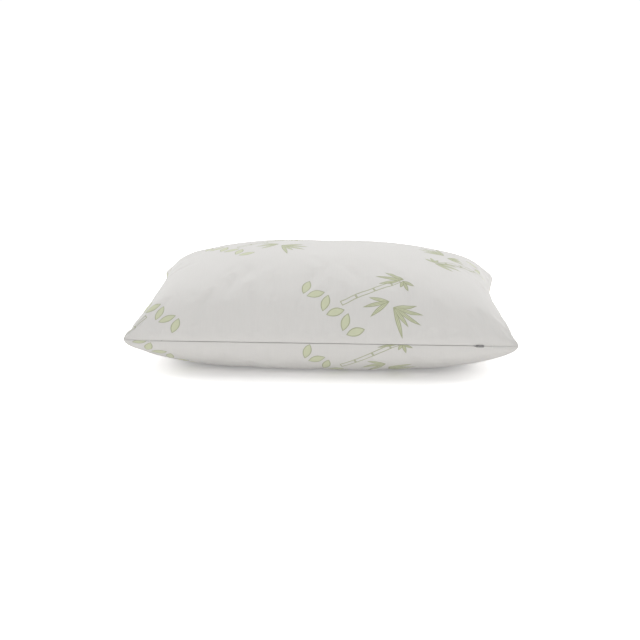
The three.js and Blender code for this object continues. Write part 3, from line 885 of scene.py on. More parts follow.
@dataclass(frozen=True)
class PillowForm:
    """The shape that every soft layer follows.

    The slit is open as far as slit_half from the middle, and sewn shut past slit_closed. The pulls are how
    far the edges are drawn in between the tips. A fullness under 1 makes a side plumper.
    """

    half_length: float
    half_depth: float
    loft: float
    seam_height: float
    tip_rise: float
    slit_half: float
    slit_closed: float
    side_pull: float = 0.026
    edge_pull: float = 0.022
    top_fullness: float = 0.83
    under_fullness: float = 0.72
    under_drop: float = 0.033
    foot_rounding: float = 0.014
    tip_lean: float = 0.0008
    tip_rounding: float = 0.0022
    tip_sharpness: float = 60.0
    plumpness: float = 1.32
    sag: float = 0.003

    @classmethod
    def from_frame(cls) -> "PillowForm":
        """Reads the pillow's sizes from the frame.

        Returns:
            The form.
        """
        top_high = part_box("cover_top_panel")[1]
        bottom_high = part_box("cover_bottom_panel")[1]
        seam = (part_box("upper_zip_coil")[0][2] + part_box("lower_zip_coil")[1][2]) / 2
        return cls(
            half_length=top_high[0],
            half_depth=top_high[1],
            loft=top_high[2] - cls.sag,
            seam_height=seam,
            tip_rise=bottom_high[2] - seam,
            slit_half=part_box("upper_tape_stitching")[1][0],
            slit_closed=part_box("upper_zip_tape")[1][0] + 0.003,
        )

    def past_slit(self, a: Floats) -> Floats:
        """Returns how far a place lies past the slit, from 0 at its end to 1 at the corner tips."""
        share = self.slit_half / self.half_length
        return np.clip((np.abs(a) - share) / (1 - share), 0, 1)

    def plan(self, a: Floats, b: Floats, inset: float | Floats = 0.0) -> tuple[Floats, Floats]:
        """The plan of a place.

        The short edges and the back one are drawn in by the square of the cosine along them. The front
        edge is straight along the slit and flares out by the square of the distance past it. The tips are
        rounded off by a high power of a times b. An inset shrinks the whole plan in proportion.

        Args:
            a: the sine of a quarter turn times u.
            b: the sine of a quarter turn times v.
            inset: how far the place is set in from the cover's edge.

        Returns:
            Its x and its y.
        """
        drawn = self.edge_pull * np.where(b < 0, 1 - self.past_slit(a) ** 2, 1 - a * a)
        rounded = self.tip_rounding * np.abs(a * b) ** self.tip_sharpness
        x = a * (self.half_length - self.side_pull * (1 - b * b) - rounded) * (1 - inset / self.half_length)
        y = b * (self.half_depth - drawn - rounded) * (1 - inset / self.half_depth)
        return x, y

    def seam(self, a: Floats, b: Floats) -> Floats:
        """The height of the seam: level, and rising by powers of a and b into the corner tips.

        Args:
            a: the sine of a quarter turn times u.
            b: the sine of a quarter turn times v.

        Returns:
            The height.
        """
        corner = self.past_slit(a) ** 2 * b**4
        front = np.clip(-b, 0, 1)
        return self.seam_height + self.tip_rise * corner - self.tip_lean * np.sign(a) * corner * front

    def heights(
        self, a: Floats, b: Floats, side: Side, layer: Layer, rim_gap: float | Floats = 0.0
    ) -> Floats:
        """The height of a place on one layer.

        The top rises from the seam by a power of the product of the two cosines. Along the zip, what that
        power lacks of 1 is itself raised to the plumpness, which fills out the shoulders. The underside
        falls by another power of the product, and a parabola rounds it off into its flat foot.

        Args:
            a: the sine of a quarter turn times u.
            b: the sine of a quarter turn times v.
            side: the top or the underside.
            layer: the layer.
            rim_gap: how far the layer's edge is from the seam's middle.

        Returns:
            The height.
        """
        along, across = (np.sqrt(np.clip(1 - k * k, 0, 1)) for k in (a, b))
        rim = self.seam(a, b) + side.value * rim_gap
        if side is Side.TOP:
            rise = (1 - (1 - along**self.top_fullness) ** self.plumpness) * across**self.top_fullness
            return rim + (self.loft - layer.crown - rim) * rise
        fall = (self.seam_height + self.under_drop) * (along * across) ** self.under_fullness
        hanging = rim - layer.crown - fall
        rounded = (hanging + self.foot_rounding) ** 2 / (4 * self.foot_rounding)
        settled = np.where(hanging >= self.foot_rounding, hanging, rounded)
        return layer.crown + np.where(hanging <= -self.foot_rounding, 0.0, settled)

    def surface(
        self, u: Floats, v: Floats, side: Side, layer: Layer, rim_gap: float | Floats = 0.0
    ) -> Floats:
        """The grid of points on a layer, one for each u and v.

        Args:
            u: the lines along the zip.
            v: the lines across it.
            side: the top or the underside.
            layer: the layer.
            rim_gap: how far the layer's edge is from the seam's middle.

        Returns:
            An array of points, by u, then v.
        """
        a, b = np.meshgrid(np.sin(u * QUARTER_TURN), np.sin(v * QUARTER_TURN), indexing="ij")
        x, y = self.plan(a, b, layer.inset)
        return np.stack([x, y, self.heights(a, b, side, layer, rim_gap)], axis=-1)

    def inverse(self, x: Floats, y: Floats, inset: float) -> tuple[Floats, Floats]:
        """Finds a and b for a plan position, by putting each into the other's formula a few times.

        Args:
            x: the positions along the zip.
            y: the positions across it.
            inset: the layer's inset.

        Returns:
            The sines a and b.
        """
        a, b = x / self.half_length, y / self.half_depth
        one = np.ones_like(a)
        for _ in range(6):
            full_x = self.plan(one, b, inset)[0]
            full_y = np.where(b < 0, -self.plan(a, -one, inset)[1], self.plan(a, one, inset)[1])
            a, b = np.clip(x / full_x, -1, 1), np.clip(y / full_y, -1, 1)
        return a, b


def cubic_weights(count: int, lines: Floats) -> Floats:
    """Weights that read an even row of samples, from -1 to 1, at other places.

    They are Catmull and Rom's: between two samples the value follows the cubic through them whose slope at
    each is half the difference between that sample's neighbours.

    Args:
        count: how many samples there are.
        lines: where they are read.

    Returns:
        One row of weights for each place that is read.
    """
    at = np.clip((lines + 1) / 2 * (count - 1), 0, count - 1 - 1e-9)
    start = np.floor(at).astype(int)
    f = at - start
    shares = np.stack(
        [
            0.5 * (-f + 2 * f**2 - f**3),
            0.5 * (2 - 5 * f**2 + 3 * f**3),
            0.5 * (f + 4 * f**2 - 3 * f**3),
            0.5 * (-(f**2) + f**3),
        ]
    )
    weights = np.zeros((len(lines), count))
    for k in range(4):
        np.add.at(weights, (np.arange(len(lines)), np.clip(start + k - 1, 0, count - 1)), shares[k])
    return weights


@dataclass
class Settling:
    """How the filled cover settles: a cloth simulation of the closed bag, blown up by its fill.

    The bag starts on the form, a little baggy and slightly uneven. Its seam and its foot are held still.
    """

    form: PillowForm
    columns: int = 145
    rows: int = 97
    frames: int = 24
    slack: float = 0.020
    pressure: float = 3.0
    stiffness: float = 0.4
    unevenness: float = 0.0006
    bump_samples: tuple[int, int] = (25, 17)
    swelling_samples: tuple[int, int] = (9, 7)
    swelling_kept: float = 0.15
    seam_fade: float = 7.0
    most: float = 0.006
    underside_share: float = 0.35
    off_floor: float = 0.002
    on_floor: float = 0.0005
    seed: int = 7
    moves: dict[Side, Floats] = field(default_factory=dict)

    def _bag(self) -> tuple[Floats, Floats, Floats]:
        """Builds the closed bag.

        Returns:
            Its points, its faces, and the bottom grid's vertex numbers.
        """
        u, v = np.linspace(-1, 1, self.columns), np.linspace(-1, 1, self.rows)
        grids = {side: self.form.surface(u, v, side, Layer()) for side in Side}
        chance = np.random.default_rng(self.seed)
        coarse = chance.normal(0, self.unevenness, (2, *self.bump_samples))
        bumps = cubic_weights(self.bump_samples[0], u) @ coarse @ cubic_weights(self.bump_samples[1], v).T
        inner = np.zeros((self.columns, self.rows), dtype=bool)
        inner[2:-2, 2:-2] = True
        for side, bump in zip(Side, bumps):
            grids[side][..., 2] += np.where(inner & (grids[side][..., 2] > self.off_floor), bump, 0)
        top = np.arange(self.columns * self.rows).reshape(self.columns, self.rows)
        bottom = top.copy()
        free = np.zeros_like(inner)
        free[1:-1, 1:-1] = True
        bottom[free] = top.size + np.arange(free.sum())
        points = np.concatenate([grids[Side.TOP].reshape(-1, 3), grids[Side.BOTTOM][free]])
        quads = grid_faces(self.columns, self.rows)
        faces = np.concatenate([quads, bottom.ravel()[quads][:, ::-1]])
        return points, faces, bottom

    def run(self) -> None:
        """Simulates the bag, and keeps how far each point of both halves moved."""
        points, faces, bottom = self._bag()
        bag = mesh_piece("settling_bag", points, faces)
        held = bag.vertex_groups.new(name="held")
        rim = np.ones((self.columns, self.rows), dtype=bool)
        rim[1:-1, 1:-1] = False
        top = np.arange(rim.size).reshape(rim.shape)
        still = np.concatenate([top[rim], np.flatnonzero(points[:, 2] < self.on_floor)])
        held.add([int(k) for k in np.unique(still)], 1.0, "REPLACE")
        cloth = bag.modifiers.new("cloth", "CLOTH")
        cloth.settings.quality = 5
        cloth.settings.vertex_group_mass = held.name
        cloth.settings.shrink_min = -self.slack
        cloth.settings.bending_stiffness = self.stiffness
        cloth.settings.use_pressure = True
        cloth.settings.uniform_pressure_force = self.pressure
        cloth.settings.effector_weights.gravity = 0
        cloth.point_cache.frame_start = 1
        cloth.point_cache.frame_end = self.frames
        for step in range(1, self.frames + 1):
            bpy.context.scene.frame_set(step)
        settled = bag.evaluated_get(bpy.context.evaluated_depsgraph_get()).data
        final = np.empty(len(points) * 3, dtype=np.float32)
        settled.vertices.foreach_get("co", final)
        moved = final.reshape(-1, 3) - points
        self.moves = {
            Side.TOP: self._creases(moved[top]),
            Side.BOTTOM: self._creases(moved[bottom]) * self.underside_share,
        }
        bpy.data.objects.remove(bag)
        bpy.context.scene.frame_set(1)
        for side, kept in self.moves.items():
            furthest = float(np.linalg.norm(kept, axis=2).max())
            log.info("%s creases: up to %.1f mm", side.name, 1000 * furthest)

    def _creases(self, moved: Floats) -> Floats:
        """Takes most of the broad swelling out of the moves, and leaves the creases.

        The swelling is the smooth surface through a few even samples that fits the moves best. What is left
        fades out at the seam, and no point moves further than the most allowed.

        Args:
            moved: how far each point of a half moved, by column, then row.

        Returns:
            The moves that are kept.
        """
        u, v = np.linspace(-1, 1, self.columns), np.linspace(-1, 1, self.rows)
        along, across = (cubic_weights(n, lines) for n, lines in zip(self.swelling_samples, (u, v)))
        samples = np.einsum("iu,jv,uvk->ijk", np.linalg.pinv(along), np.linalg.pinv(across), moved)
        swelling = np.einsum("ui,vj,ijk->uvk", along, across, samples)
        fade = [np.clip(self.seam_fade * np.cos(lines * QUARTER_TURN), 0, 1) for lines in (u, v)]
        kept = (moved - (1 - self.swelling_kept) * swelling) * (fade[0][:, None] * fade[1])[..., None]
        far = np.linalg.norm(kept, axis=2, keepdims=True)
        return kept * self.most * np.tanh(far / self.most) / np.maximum(far, 1e-9)

    def at(self, side: Side, u: Floats, v: Floats) -> Floats:
        """Reads how far a half of the cover moved at other lines.

        Args:
            side: the top or the underside.
            u: the lines along the zip.
            v: the lines across it.

        Returns:
            The moves, by u, then v.
        """
        along, across = cubic_weights(self.columns, u), cubic_weights(self.rows, v)
        return np.einsum("ui,vj,ijk->uvk", along, across, self.moves[side])


# ---- Cover and liner ---------------------------------------------------------------------------------


def rim_order(columns: int, rows: int) -> Floats:
    """Returns the vertex numbers round a grid's edge, anticlockwise from above."""
    index = np.arange(columns * rows).reshape(columns, rows)
    return np.concatenate([index[:-1, 0], index[-1, :-1], index[:0:-1, -1], index[0, :0:-1]])


@dataclass
class Bag:
    """A bag of two sewn panels: the cover or the liner.

    A bag with a lip_gap is open along the slit, where its cloth rolls into a lip and goes back as a hem.
    The print is centred on the upper panel, and moved by under_print on the lower one.
    """

    form: PillowForm
    settling: Settling
    layer: Layer
    thickness: float
    seam_gap: float
    allowance: float
    cut: tuple[float, float]
    columns: int
    rows: int
    lip_gap: float | None = None
    lip_radius: float = 0.0013
    lip_steps: int = 8
    hem: float = 0.0092
    hem_steps: int = 3
    thread_radius: float = 0.00022
    thread_slack: float = 0.0006
    squareness: float = 0.6
    under_print: tuple[float, float] = (0.0, 0.0)

    def _slit_share(self, a: Floats, b: Floats) -> Floats:
        """Works out how far open places are.

        Args:
            a: the sine of a quarter turn times u.
            b: the sine of a quarter turn times v.

        Returns:
            1 along the slit, 0 at the sewn edges, and a smooth fall past the slit's ends.
        """
        if self.lip_gap is None:
            return np.zeros_like(a)
        start, stop = self.form.slit_half, self.form.slit_closed
        past = np.clip((np.abs(a) * self.form.half_length - start) / (stop - start), 0, 1)
        return np.where(b < -AT_EDGE, 1 - past * past * (3 - 2 * past), 0.0)

    def _rim_gap(self, share: Floats) -> Floats:
        """Works out the height of the panel's edge over the seam: sewn, or at the front of a rolled lip.

        Args:
            share: how much of each place is slit.

        Returns:
            The height.
        """
        sewn = self.seam_gap / 2
        if self.lip_gap is None:
            return sewn
        return sewn + (self.lip_gap / 2 + self.lip_radius - sewn) * share

    def _turned_in(self, share: Floats) -> tuple[Floats, Floats]:
        """The cloth that is turned in behind the panel's edge.

        At a sewn edge it is a straight allowance. Along the slit it rolls round half a circle, and then
        goes back up as a hem.

        Args:
            share: how much of each point of the edge is slit.

        Returns:
            How far each row of it is set in, and its height over the seam, by row and point of the edge.
        """
        rolled = np.linspace(math.pi, 2 * math.pi, self.lip_steps + 1)[1:]
        radius = self.lip_radius
        lip = (self.lip_gap or 0.0) / 2 + radius
        hem = np.linspace(0, self.hem, self.hem_steps + 1)[1:]
        slit_inset = np.concatenate([radius + radius * np.cos(rolled), np.full(len(hem), 2 * radius)])
        slit_rise = np.concatenate([lip + radius * np.sin(rolled), lip + hem])
        steps = np.linspace(0, self.allowance, len(slit_inset) + 1)[1:]
        inset = steps[:, None] + (slit_inset - steps)[:, None] * share[None, :]
        rise = self.seam_gap / 2 + (slit_rise - self.seam_gap / 2)[:, None] * share[None, :]
        return inset, rise

    def _flat_lines(self, side: Side, lines: Floats, across: bool, size: float) -> Floats:
        """Works out where lines of the grid lie on the flat cut: in proportion to the length over the crown.

        Args:
            side: the top or the underside.
            lines: the lines' u, or their v.
            across: whether they are lines of v.
            size: the flat cut's length in that direction.

        Returns:
            Their places, from the middle of the cut.
        """
        zero = np.zeros(1)
        fine = np.linspace(-1, 1, 801)
        grid = self.form.surface(*((zero, fine) if across else (fine, zero)), side, self.layer)
        steps = np.linalg.norm(np.diff(grid.reshape(-1, 3), axis=0), axis=1)
        length = np.concatenate([[0], np.cumsum(steps)])
        return (np.interp(lines, fine, length / length[-1]) - 0.5) * size

    def panel(self, side: Side, name: str) -> bpy.types.Object:
        """Builds one panel as a single layer of cloth, with its edges turned in, and gives it thickness.

        Args:
            side: the top or the underside.
            name: the piece's name.

        Returns:
            The panel.
        """
        u, v = np.linspace(-1, 1, self.columns), np.linspace(-1, 1, self.rows)
        a, b = np.meshgrid(np.sin(u * QUARTER_TURN), np.sin(v * QUARTER_TURN), indexing="ij")
        share = self._slit_share(a, b)
        grid = self.form.surface(u, v, side, self.layer, self._rim_gap(share))
        grid += self.settling.at(side, u, v)
        grid[..., 2] = np.maximum(grid[..., 2], self.layer.crown if side is Side.BOTTOM else 0.0)
        rim = rim_order(self.columns, self.rows)
        rim_a, rim_b, rim_share = (whole.ravel()[rim] for whole in (a, b, share))
        inset, rise = self._turned_in(rim_share)
        x, y = self.form.plan(rim_a[None, :], rim_b[None, :], self.layer.inset + inset)
        z = self.form.seam(rim_a, rim_b)[None, :] + side.value * rise
        skirt = np.stack([x, y, z], axis=-1)

        count, around = grid.shape[0] * grid.shape[1], len(rim)
        rings = np.concatenate([rim[None, :], count + np.arange(skirt.size // 3).reshape(-1, around)])
        turned = rings.ravel()[grid_faces(len(rings), around, wrap_columns=True)]
        faces = np.concatenate([grid_faces(self.columns, self.rows), turned])
        if side is Side.BOTTOM:
            faces = faces[:, ::-1]

        s = self._flat_lines(side, u, False, self.cut[0])
        t = self._flat_lines(side, v, True, self.cut[1])
        flat = np.stack(np.meshgrid(s, t, indexing="ij"), axis=-1).reshape(-1, 2)
        edge = flat[rim]
        beyond = np.stack([np.abs(rim_a) > AT_EDGE, np.abs(rim_b) > AT_EDGE], axis=-1) * np.sign(edge)
        reach = np.linspace(0, self.allowance, len(skirt) + 1)[1:]
        flat_skirt = edge[None] + beyond[None] * reach[:, None, None]
        uv = np.concatenate([flat, flat_skirt.reshape(-1, 2)])
        uv[:, 1] *= side.value
        if side is Side.BOTTOM:
            uv += np.array(self.under_print)
        points = np.concatenate([grid.reshape(-1, 3), skirt.reshape(-1, 3)])
        piece = mesh_piece(name, points, faces, uv)
        cloth_wall(piece, self.thickness)
        return piece

    def _squared(self, wave: Floats) -> Floats:
        """Returns a sine wave pushed towards a square one: a power of its size, with its sign."""
        return np.sign(wave) * np.abs(wave) ** self.squareness

    def overlock(
        self, name: str, a: Floats, b: Floats, reach: tuple[float, float], pitch: float
    ) -> bpy.types.Object:
        """Builds the thread that binds the raw edges of a seam's allowances.

        The thread goes round and round the edges in a flat loop: a stitch's path is a stretched circle in
        the plane across the seam, and it moves on along the seam by one pitch as it goes round.

        Args:
            name: the piece's name.
            a: the sines of u at places along the seam.
            b: the sines of v there.
            reach: where the binding starts and stops, measured in from the outside of the cover.
            pitch: the length of a stitch.

        Returns:
            The thread.
        """
        x, y = self.form.plan(a, b)
        length = np.concatenate([[0], np.cumsum(np.hypot(np.diff(x), np.diff(y)))])
        stitches = int(length[-1] / pitch)
        turn = np.arange(stitches * ROUND_STEPS + 1) / ROUND_STEPS
        along = turn / stitches * length[-1]
        at_a, at_b = np.interp(along, length, a), np.interp(along, length, b)
        angle = 2 * math.pi * turn
        inset = (reach[0] + reach[1]) / 2 + (reach[1] - reach[0]) / 2 * self._squared(np.cos(angle))
        stack = self.thickness + self.seam_gap / 2 + self.thread_slack
        seam = self.form.seam(at_a, at_b)
        height = seam + stack * self._squared(np.sin(angle))
        path = np.stack([*self.form.plan(at_a, at_b, inset), height], axis=-1)
        seam_line = np.stack([*self.form.plan(at_a, at_b, reach[1]), seam], axis=-1)
        return tube_piece(name, path, self.thread_radius, np.gradient(seam_line, axis=0), sides=5)


@dataclass
class Cover:
    """The knitted outer cover: two panels, sewn on three sides, with folded lips over the zip."""

    bag: Bag
    wardrobe: Wardrobe
    overlock_share: float = 0.93
    overlock_reach: tuple[float, float] = (0.0035, 0.0085)
    past_slit: float = 0.008
    before_tip: float = 0.014
    stitch_pitch: float = 0.0030

    def build(self) -> list[bpy.types.Object]:
        """Builds the panels and their seams.

        Returns:
            The pieces.
        """
        made = []
        for side, node in ((Side.TOP, "cover_top_panel"), (Side.BOTTOM, "cover_bottom_panel")):
            piece = self.bag.panel(side, node + "_knit")
            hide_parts(node)
            self.wardrobe.dress(piece, Slot.COVER)
            made.append(piece)
        for node, (a, b) in self._seams().items():
            piece = self.bag.overlock(node + "_thread", a, b, self.overlock_reach, self.stitch_pitch)
            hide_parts(node)
            self.wardrobe.dress(piece, Slot.THREAD)
            made.append(piece)
        for piece in made:
            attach(piece, "cover")
        return made

    def _seams(self) -> dict[str, tuple[Floats, Floats]]:
        """Returns the route of each sewn seam, as the sines of u and v along it."""
        edge = np.sin(np.linspace(-1, 1, 241) * self.overlock_share * QUARTER_TURN)
        full = np.ones_like(edge)
        form = self.bag.form
        low, high = form.slit_closed + self.past_slit, form.half_length - self.before_tip
        corner = np.linspace(low / form.half_length, high / form.half_length, 41)
        front = -np.ones_like(corner)
        return {
            "right_seam_overlock": (full, edge),
            "left_seam_overlock": (-full, -edge),
            "back_seam_overlock": (-edge, full),
            "front_left_seam_overlock": (-corner[::-1], front),
            "front_right_seam_overlock": (corner, front),
        }


@dataclass
class Liner:
    """The inner bag that holds the foam, sewn shut all round."""

    bag: Bag
    wardrobe: Wardrobe
    overlock_reach: tuple[float, float] = (0.0035, 0.0064)
    stitch_pitch: float = 0.0036

    def build(self) -> list[bpy.types.Object]:
        """Builds the two panels and the seam's thread.

        Returns:
            The pieces.
        """
        made = []
        for side, node in ((Side.TOP, "liner_top_panel"), (Side.BOTTOM, "liner_bottom_panel")):
            piece = self.bag.panel(side, node + "_cloth")
            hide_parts(node)
            self.wardrobe.dress(piece, Slot.LINER)
            made.append(piece)
        way = np.sin(np.linspace(-1, 1, 201) * QUARTER_TURN)
        one = np.ones_like(way)
        a = np.concatenate([way, one, -way, -one])
        b = np.concatenate([-one, way, one, -way])
        reach = tuple(self.bag.layer.inset + edge for edge in self.overlock_reach)
        thread = self.bag.overlock("liner_seam_overlock_thread", a, b, reach, self.stitch_pitch)
        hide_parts("liner_seam_overlock")
        self.wardrobe.dress(thread, Slot.THREAD)
        made.append(thread)
        for piece in made:
            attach(piece, "cover")
        return made


# ---- Fill --------------------------------------------------------------------------------------------


@dataclass
class Filling:
    """Torn shreds of foam, gathered into clumps. Jitter, margin and sizes are shares of the spacing."""

    form: PillowForm
    layer: Layer
    wardrobe: Wardrobe
    spacing: float = 0.027
    jitter: float = 0.25
    margin: float = 0.30
    sizes: tuple[float, float] = (0.80, 1.12)
    ball_radius: float = 0.62
    tearing: float = 0.0011
    widest: float = 0.985
    clearance: float = 0.0005
    seed: int = 21

    def _shred(self) -> tuple[Floats, Floats]:
        """Makes a cube with 3 by 3 squares on each face, pushed half way to a ball.

        Returns:
            Its points, from -0.5 to 0.5, and its faces.
        """
        shape = bmesh.new()
        bmesh.ops.create_cube(shape, size=1.0)
        bmesh.ops.subdivide_edges(shape, edges=shape.edges, cuts=2, use_grid_fill=True)
        points = np.array([v.co for v in shape.verts])
        faces = np.array([[v.index for v in f.verts] for f in shape.faces])
        shape.free()
        length = np.linalg.norm(points, axis=1, keepdims=True)
        return points * (0.5 + 0.5 * self.ball_radius / length), faces

    def _centres(self) -> Floats:
        """Returns the middles of the shreds: a jittered lattice inside the liner."""
        chance = np.random.default_rng(self.seed)
        step = self.spacing
        reach = [self.form.half_length, self.form.half_depth]
        axes = [np.arange(-r, r, step) for r in reach] + [np.arange(step / 2, self.form.loft, step)]
        lattice = np.stack(np.meshgrid(*axes, indexing="ij"), axis=-1).reshape(-1, 3)
        lattice += chance.uniform(-self.jitter, self.jitter, lattice.shape) * step
        low, high, inside = self._room(lattice)
        margin = self.margin * step
        return lattice[inside & (lattice[:, 2] > low + margin) & (lattice[:, 2] < high - margin)]

    def _room(self, points: Floats) -> tuple[Floats, Floats, Floats]:
        """Works out the room that the liner leaves over and under points.

        Args:
            points: the points.

        Returns:
            The height of the liner's floor and ceiling there, and whether the point is inside its plan.
        """
        a, b = self.form.inverse(points[:, 0], points[:, 1], self.layer.inset)
        low = self.form.heights(a, b, Side.BOTTOM, self.layer)
        high = self.form.heights(a, b, Side.TOP, self.layer)
        return low, high, (np.abs(a) < self.widest) & (np.abs(b) < self.widest)

    def build(self) -> list[bpy.types.Object]:
        """Builds the clumps. Each shred goes to the clump of the frame whose middle is nearest.

        Returns:
            The clumps.
        """
        nodes = sorted(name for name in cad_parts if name.startswith("foam_clump"))
        middles = np.array([middle(node) for node in nodes])
        centres = self._centres()
        owner = np.argmin(np.linalg.norm(centres[:, None] - middles[None], axis=2), axis=1)
        points, faces = self._shred()
        chance = np.random.default_rng(self.seed + 1)
        made = []
        for k, node in enumerate(nodes):
            own = centres[owner == k]
            turns = np.linalg.qr(chance.normal(size=(len(own), 3, 3)))[0]
            turns *= np.sign(np.linalg.det(turns))[:, None, None]
            sizes = self.spacing * chance.uniform(*self.sizes, (len(own), 1, 3))
            torn = points[None] * sizes + chance.normal(0, self.tearing, (len(own), len(points), 3))
            placed = np.einsum("nij,npj->npi", turns, torn) + own[:, None]
            placed = self._inside_liner(placed.reshape(-1, 3))
            every = faces[None] + (np.arange(len(own)) * len(points))[:, None, None]
            piece = mesh_piece(node + "_shreds", placed, every.reshape(-1, 4))
            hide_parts(node)
            self.wardrobe.dress(piece, Slot.FOAM)
            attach(piece, "cover")
            made.append(piece)
        return made

    def _inside_liner(self, points: Floats) -> Floats:
        """Presses points back where they would pass through the liner.

        Args:
            points: the points.

        Returns:
            The points, where they end.
        """
        low, high, _ = self._room(points)
        held = points.copy()
        low = low + self.clearance
        held[:, 2] = np.clip(points[:, 2], low, np.maximum(high - self.clearance, low + 0.0001))
        return held


# ---- Zip ---------------------------------------------------------------------------------------------


ALONG_ZIP = np.array([1.0, 0.0, 0.0])
UP = np.array([0.0, 0.0, 1.0])
TACK_MARGIN = 0.0002
CLIP_EDGE = 0.0002


@dataclass
class Zip:
    """The concealed zip: two taped halves, their stops, the slider and its pull."""

    form: PillowForm
    wardrobe: Wardrobe
    coil_pitch: float = 0.00115
    filament_radius: float = 0.00030
    thread_radius: float = 0.00018
    stitch_pitch: float = 0.0028
    stitch_swing: tuple[float, float] = (0.00016, 0.00008)
    stitch_depth: float = 0.0001
    tape_thickness: float = 0.0005
    tape_step: tuple[float, float] = (0.0046, 0.0066)
    tack_turns: int = 22
    tack_radius: float = 0.00017
    tack_slope: float = 0.16

    def _coil(self, node: str) -> bpy.types.Object:
        """Builds a coil: a helix round a flattened circle, which fills its node's box.

        Args:
            node: the frame's node.

        Returns:
            The coil.
        """
        low, high = (np.array(corner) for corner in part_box(node))
        turns = round((high[0] - low[0]) / self.coil_pitch)
        angle = np.linspace(0, 2 * math.pi * turns, turns * ROUND_STEPS + 1)
        centre, half = (low + high) / 2, (high - low) / 2 - self.filament_radius
        path = np.stack(
            [
                np.linspace(low[0] + self.filament_radius, high[0] - self.filament_radius, len(angle)),
                centre[1] + half[1] * np.cos(angle),
                centre[2] + half[2] * np.sin(angle),
            ],
            axis=-1,
        )
        return tube_piece(node + "_filament", path, self.filament_radius, ALONG_ZIP, sides=5)

    def _tape(self, node: str, side: Side) -> bpy.types.Object:
        """Builds a tape: a narrow woven strip that runs behind the coil and turns forward to its hem.

        Its section is two straight runs, joined by a smooth step whose depth follows a cosine.

        Args:
            node: the frame's node.
            side: the half of the cover that it is sewn to.

        Returns:
            The tape.
        """
        low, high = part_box(node)
        seam = self.form.seam_height
        near, far = sorted((abs(low[2] - seam), abs(high[2] - seam)))
        start, stop = self.tape_step
        bend = np.linspace(start, stop, 9)
        distance = np.concatenate([[near, 0.0030], bend, [0.0085, 0.0105, far]])
        step = np.clip((distance - start) / (stop - start), 0, 1)
        back, front = high[1] - self.tape_thickness / 2, low[1] + self.tape_thickness / 2
        depth = back + (front - back) * (1 - np.cos(math.pi * step)) / 2
        x = np.linspace(low[0], high[0], 209)
        section = np.stack([depth, seam + side.value * distance], axis=-1)
        along = np.repeat(x, len(distance))
        points = np.concatenate([along[:, None], np.tile(section, (len(x), 1))], axis=1)
        width = np.concatenate([[0], np.cumsum(np.linalg.norm(np.diff(section, axis=0), axis=1))])
        uv = np.stack([along, np.tile(width, len(x))], axis=-1)
        faces = grid_faces(len(x), len(distance))
        piece = mesh_piece(node + "_woven", points, faces if side is Side.TOP else faces[:, ::-1], uv)
        wall = piece.modifiers.new("tape_wall", "SOLIDIFY")
        wall.thickness = self.tape_thickness
        wall.offset = 0.0
        return piece

    def _stitching(self, node: str) -> bpy.types.Object:
        """Builds a row of lock stitches: a thread whose depth and height wave once for each stitch.

        Args:
            node: the frame's node.

        Returns:
            The thread.
        """
        low, high = (np.array(corner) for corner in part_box(node))
        stitches = round((high[0] - low[0]) / self.stitch_pitch)
        angle = np.linspace(0, 2 * math.pi * stitches, stitches * 10 + 1)
        centre = (low + high) / 2
        path = np.stack(
            [
                np.linspace(low[0], high[0], len(angle)),
                centre[1] - self.stitch_depth + self.stitch_swing[0] * np.cos(angle),
                centre[2] + self.stitch_swing[1] * np.sin(angle),
            ],
            axis=-1,
        )
        return tube_piece(node + "_thread", path, self.thread_radius, UP)

    def _bar_tack(self, node: str) -> bpy.types.Object:
        """Builds a bar tack: thread wound to and fro across a short bar, which fills its node's box.

        Its depth slopes from one side to the other, as the cloth does past the end of the slit.

        Args:
            node: the frame's node.

        Returns:
            The thread.
        """
        low, high = (np.array(corner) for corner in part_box(node))
        centre, half = (low + high) / 2, (high - low) / 2
        angle = np.linspace(0, 2 * math.pi * self.tack_turns, self.tack_turns * ROUND_STEPS + 1)
        slope = math.copysign(self.tack_slope, -centre[0])
        across = (half[0] - TACK_MARGIN) * np.cos(angle)
        path = np.stack(
            [
                centre[0] + across,
                centre[1] + slope * across + self.stitch_swing[0] * np.sin(angle),
                np.linspace(low[2] + TACK_MARGIN, high[2] - TACK_MARGIN, len(angle)),
            ],
            axis=-1,
        )
        return tube_piece(node + "_thread", path, self.tack_radius, UP, sides=5)

    def build(self) -> list[bpy.types.Object]:
        """Builds the zip.

        Returns:
            The pieces.
        """
        made = []
        for side, half in ((Side.TOP, "upper"), (Side.BOTTOM, "lower")):
            tape, coil, stitching = f"{half}_zip_tape", f"{half}_zip_coil", f"{half}_tape_stitching"
            made.append(self._fitted(self._tape(tape, side), tape, Slot.TAPE))
            made.append(self._fitted(self._coil(coil), coil, Slot.NYLON))
            made.append(self._fitted(self._stitching(stitching), stitching, Slot.THREAD))
            made.append(self._casting(f"{half}_zip_top_stop", f"{half}_zip_top_stop_clip", CLIP_EDGE))
        for node in ("left_bar_tack", "right_bar_tack"):
            made.append(self._fitted(self._bar_tack(node), node, Slot.THREAD))
        made.append(self._casting("zip_bottom_stop", "zip_bottom_stop_clip", 0.0003))
        made.append(self._casting("zip_slider_body", "zip_slider_casting", 0.00018, "slider"))
        made.append(self._casting("zip_pull_tab", "zip_pull_casting", CLIP_EDGE, "pull"))
        return made

    def _fitted(
        self, piece: bpy.types.Object, node: str, slot: Slot, body: str = "cover"
    ) -> bpy.types.Object:
        """Puts a piece in its node's place.

        Args:
            piece: the piece.
            node: the frame's node.
            slot: its finish.
            body: the body that it rides on.

        Returns:
            The piece.
        """
        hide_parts(node)
        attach(piece, body)
        self.wardrobe.dress(piece, slot)
        return piece

    def _casting(self, node: str, name: str, edge: float, body: str = "cover") -> bpy.types.Object:
        """Returns a fitted metal piece: its node's shape, with rounded edges."""
        return self._fitted(softened_copy(node, name, edge), node, Slot.METAL, body)


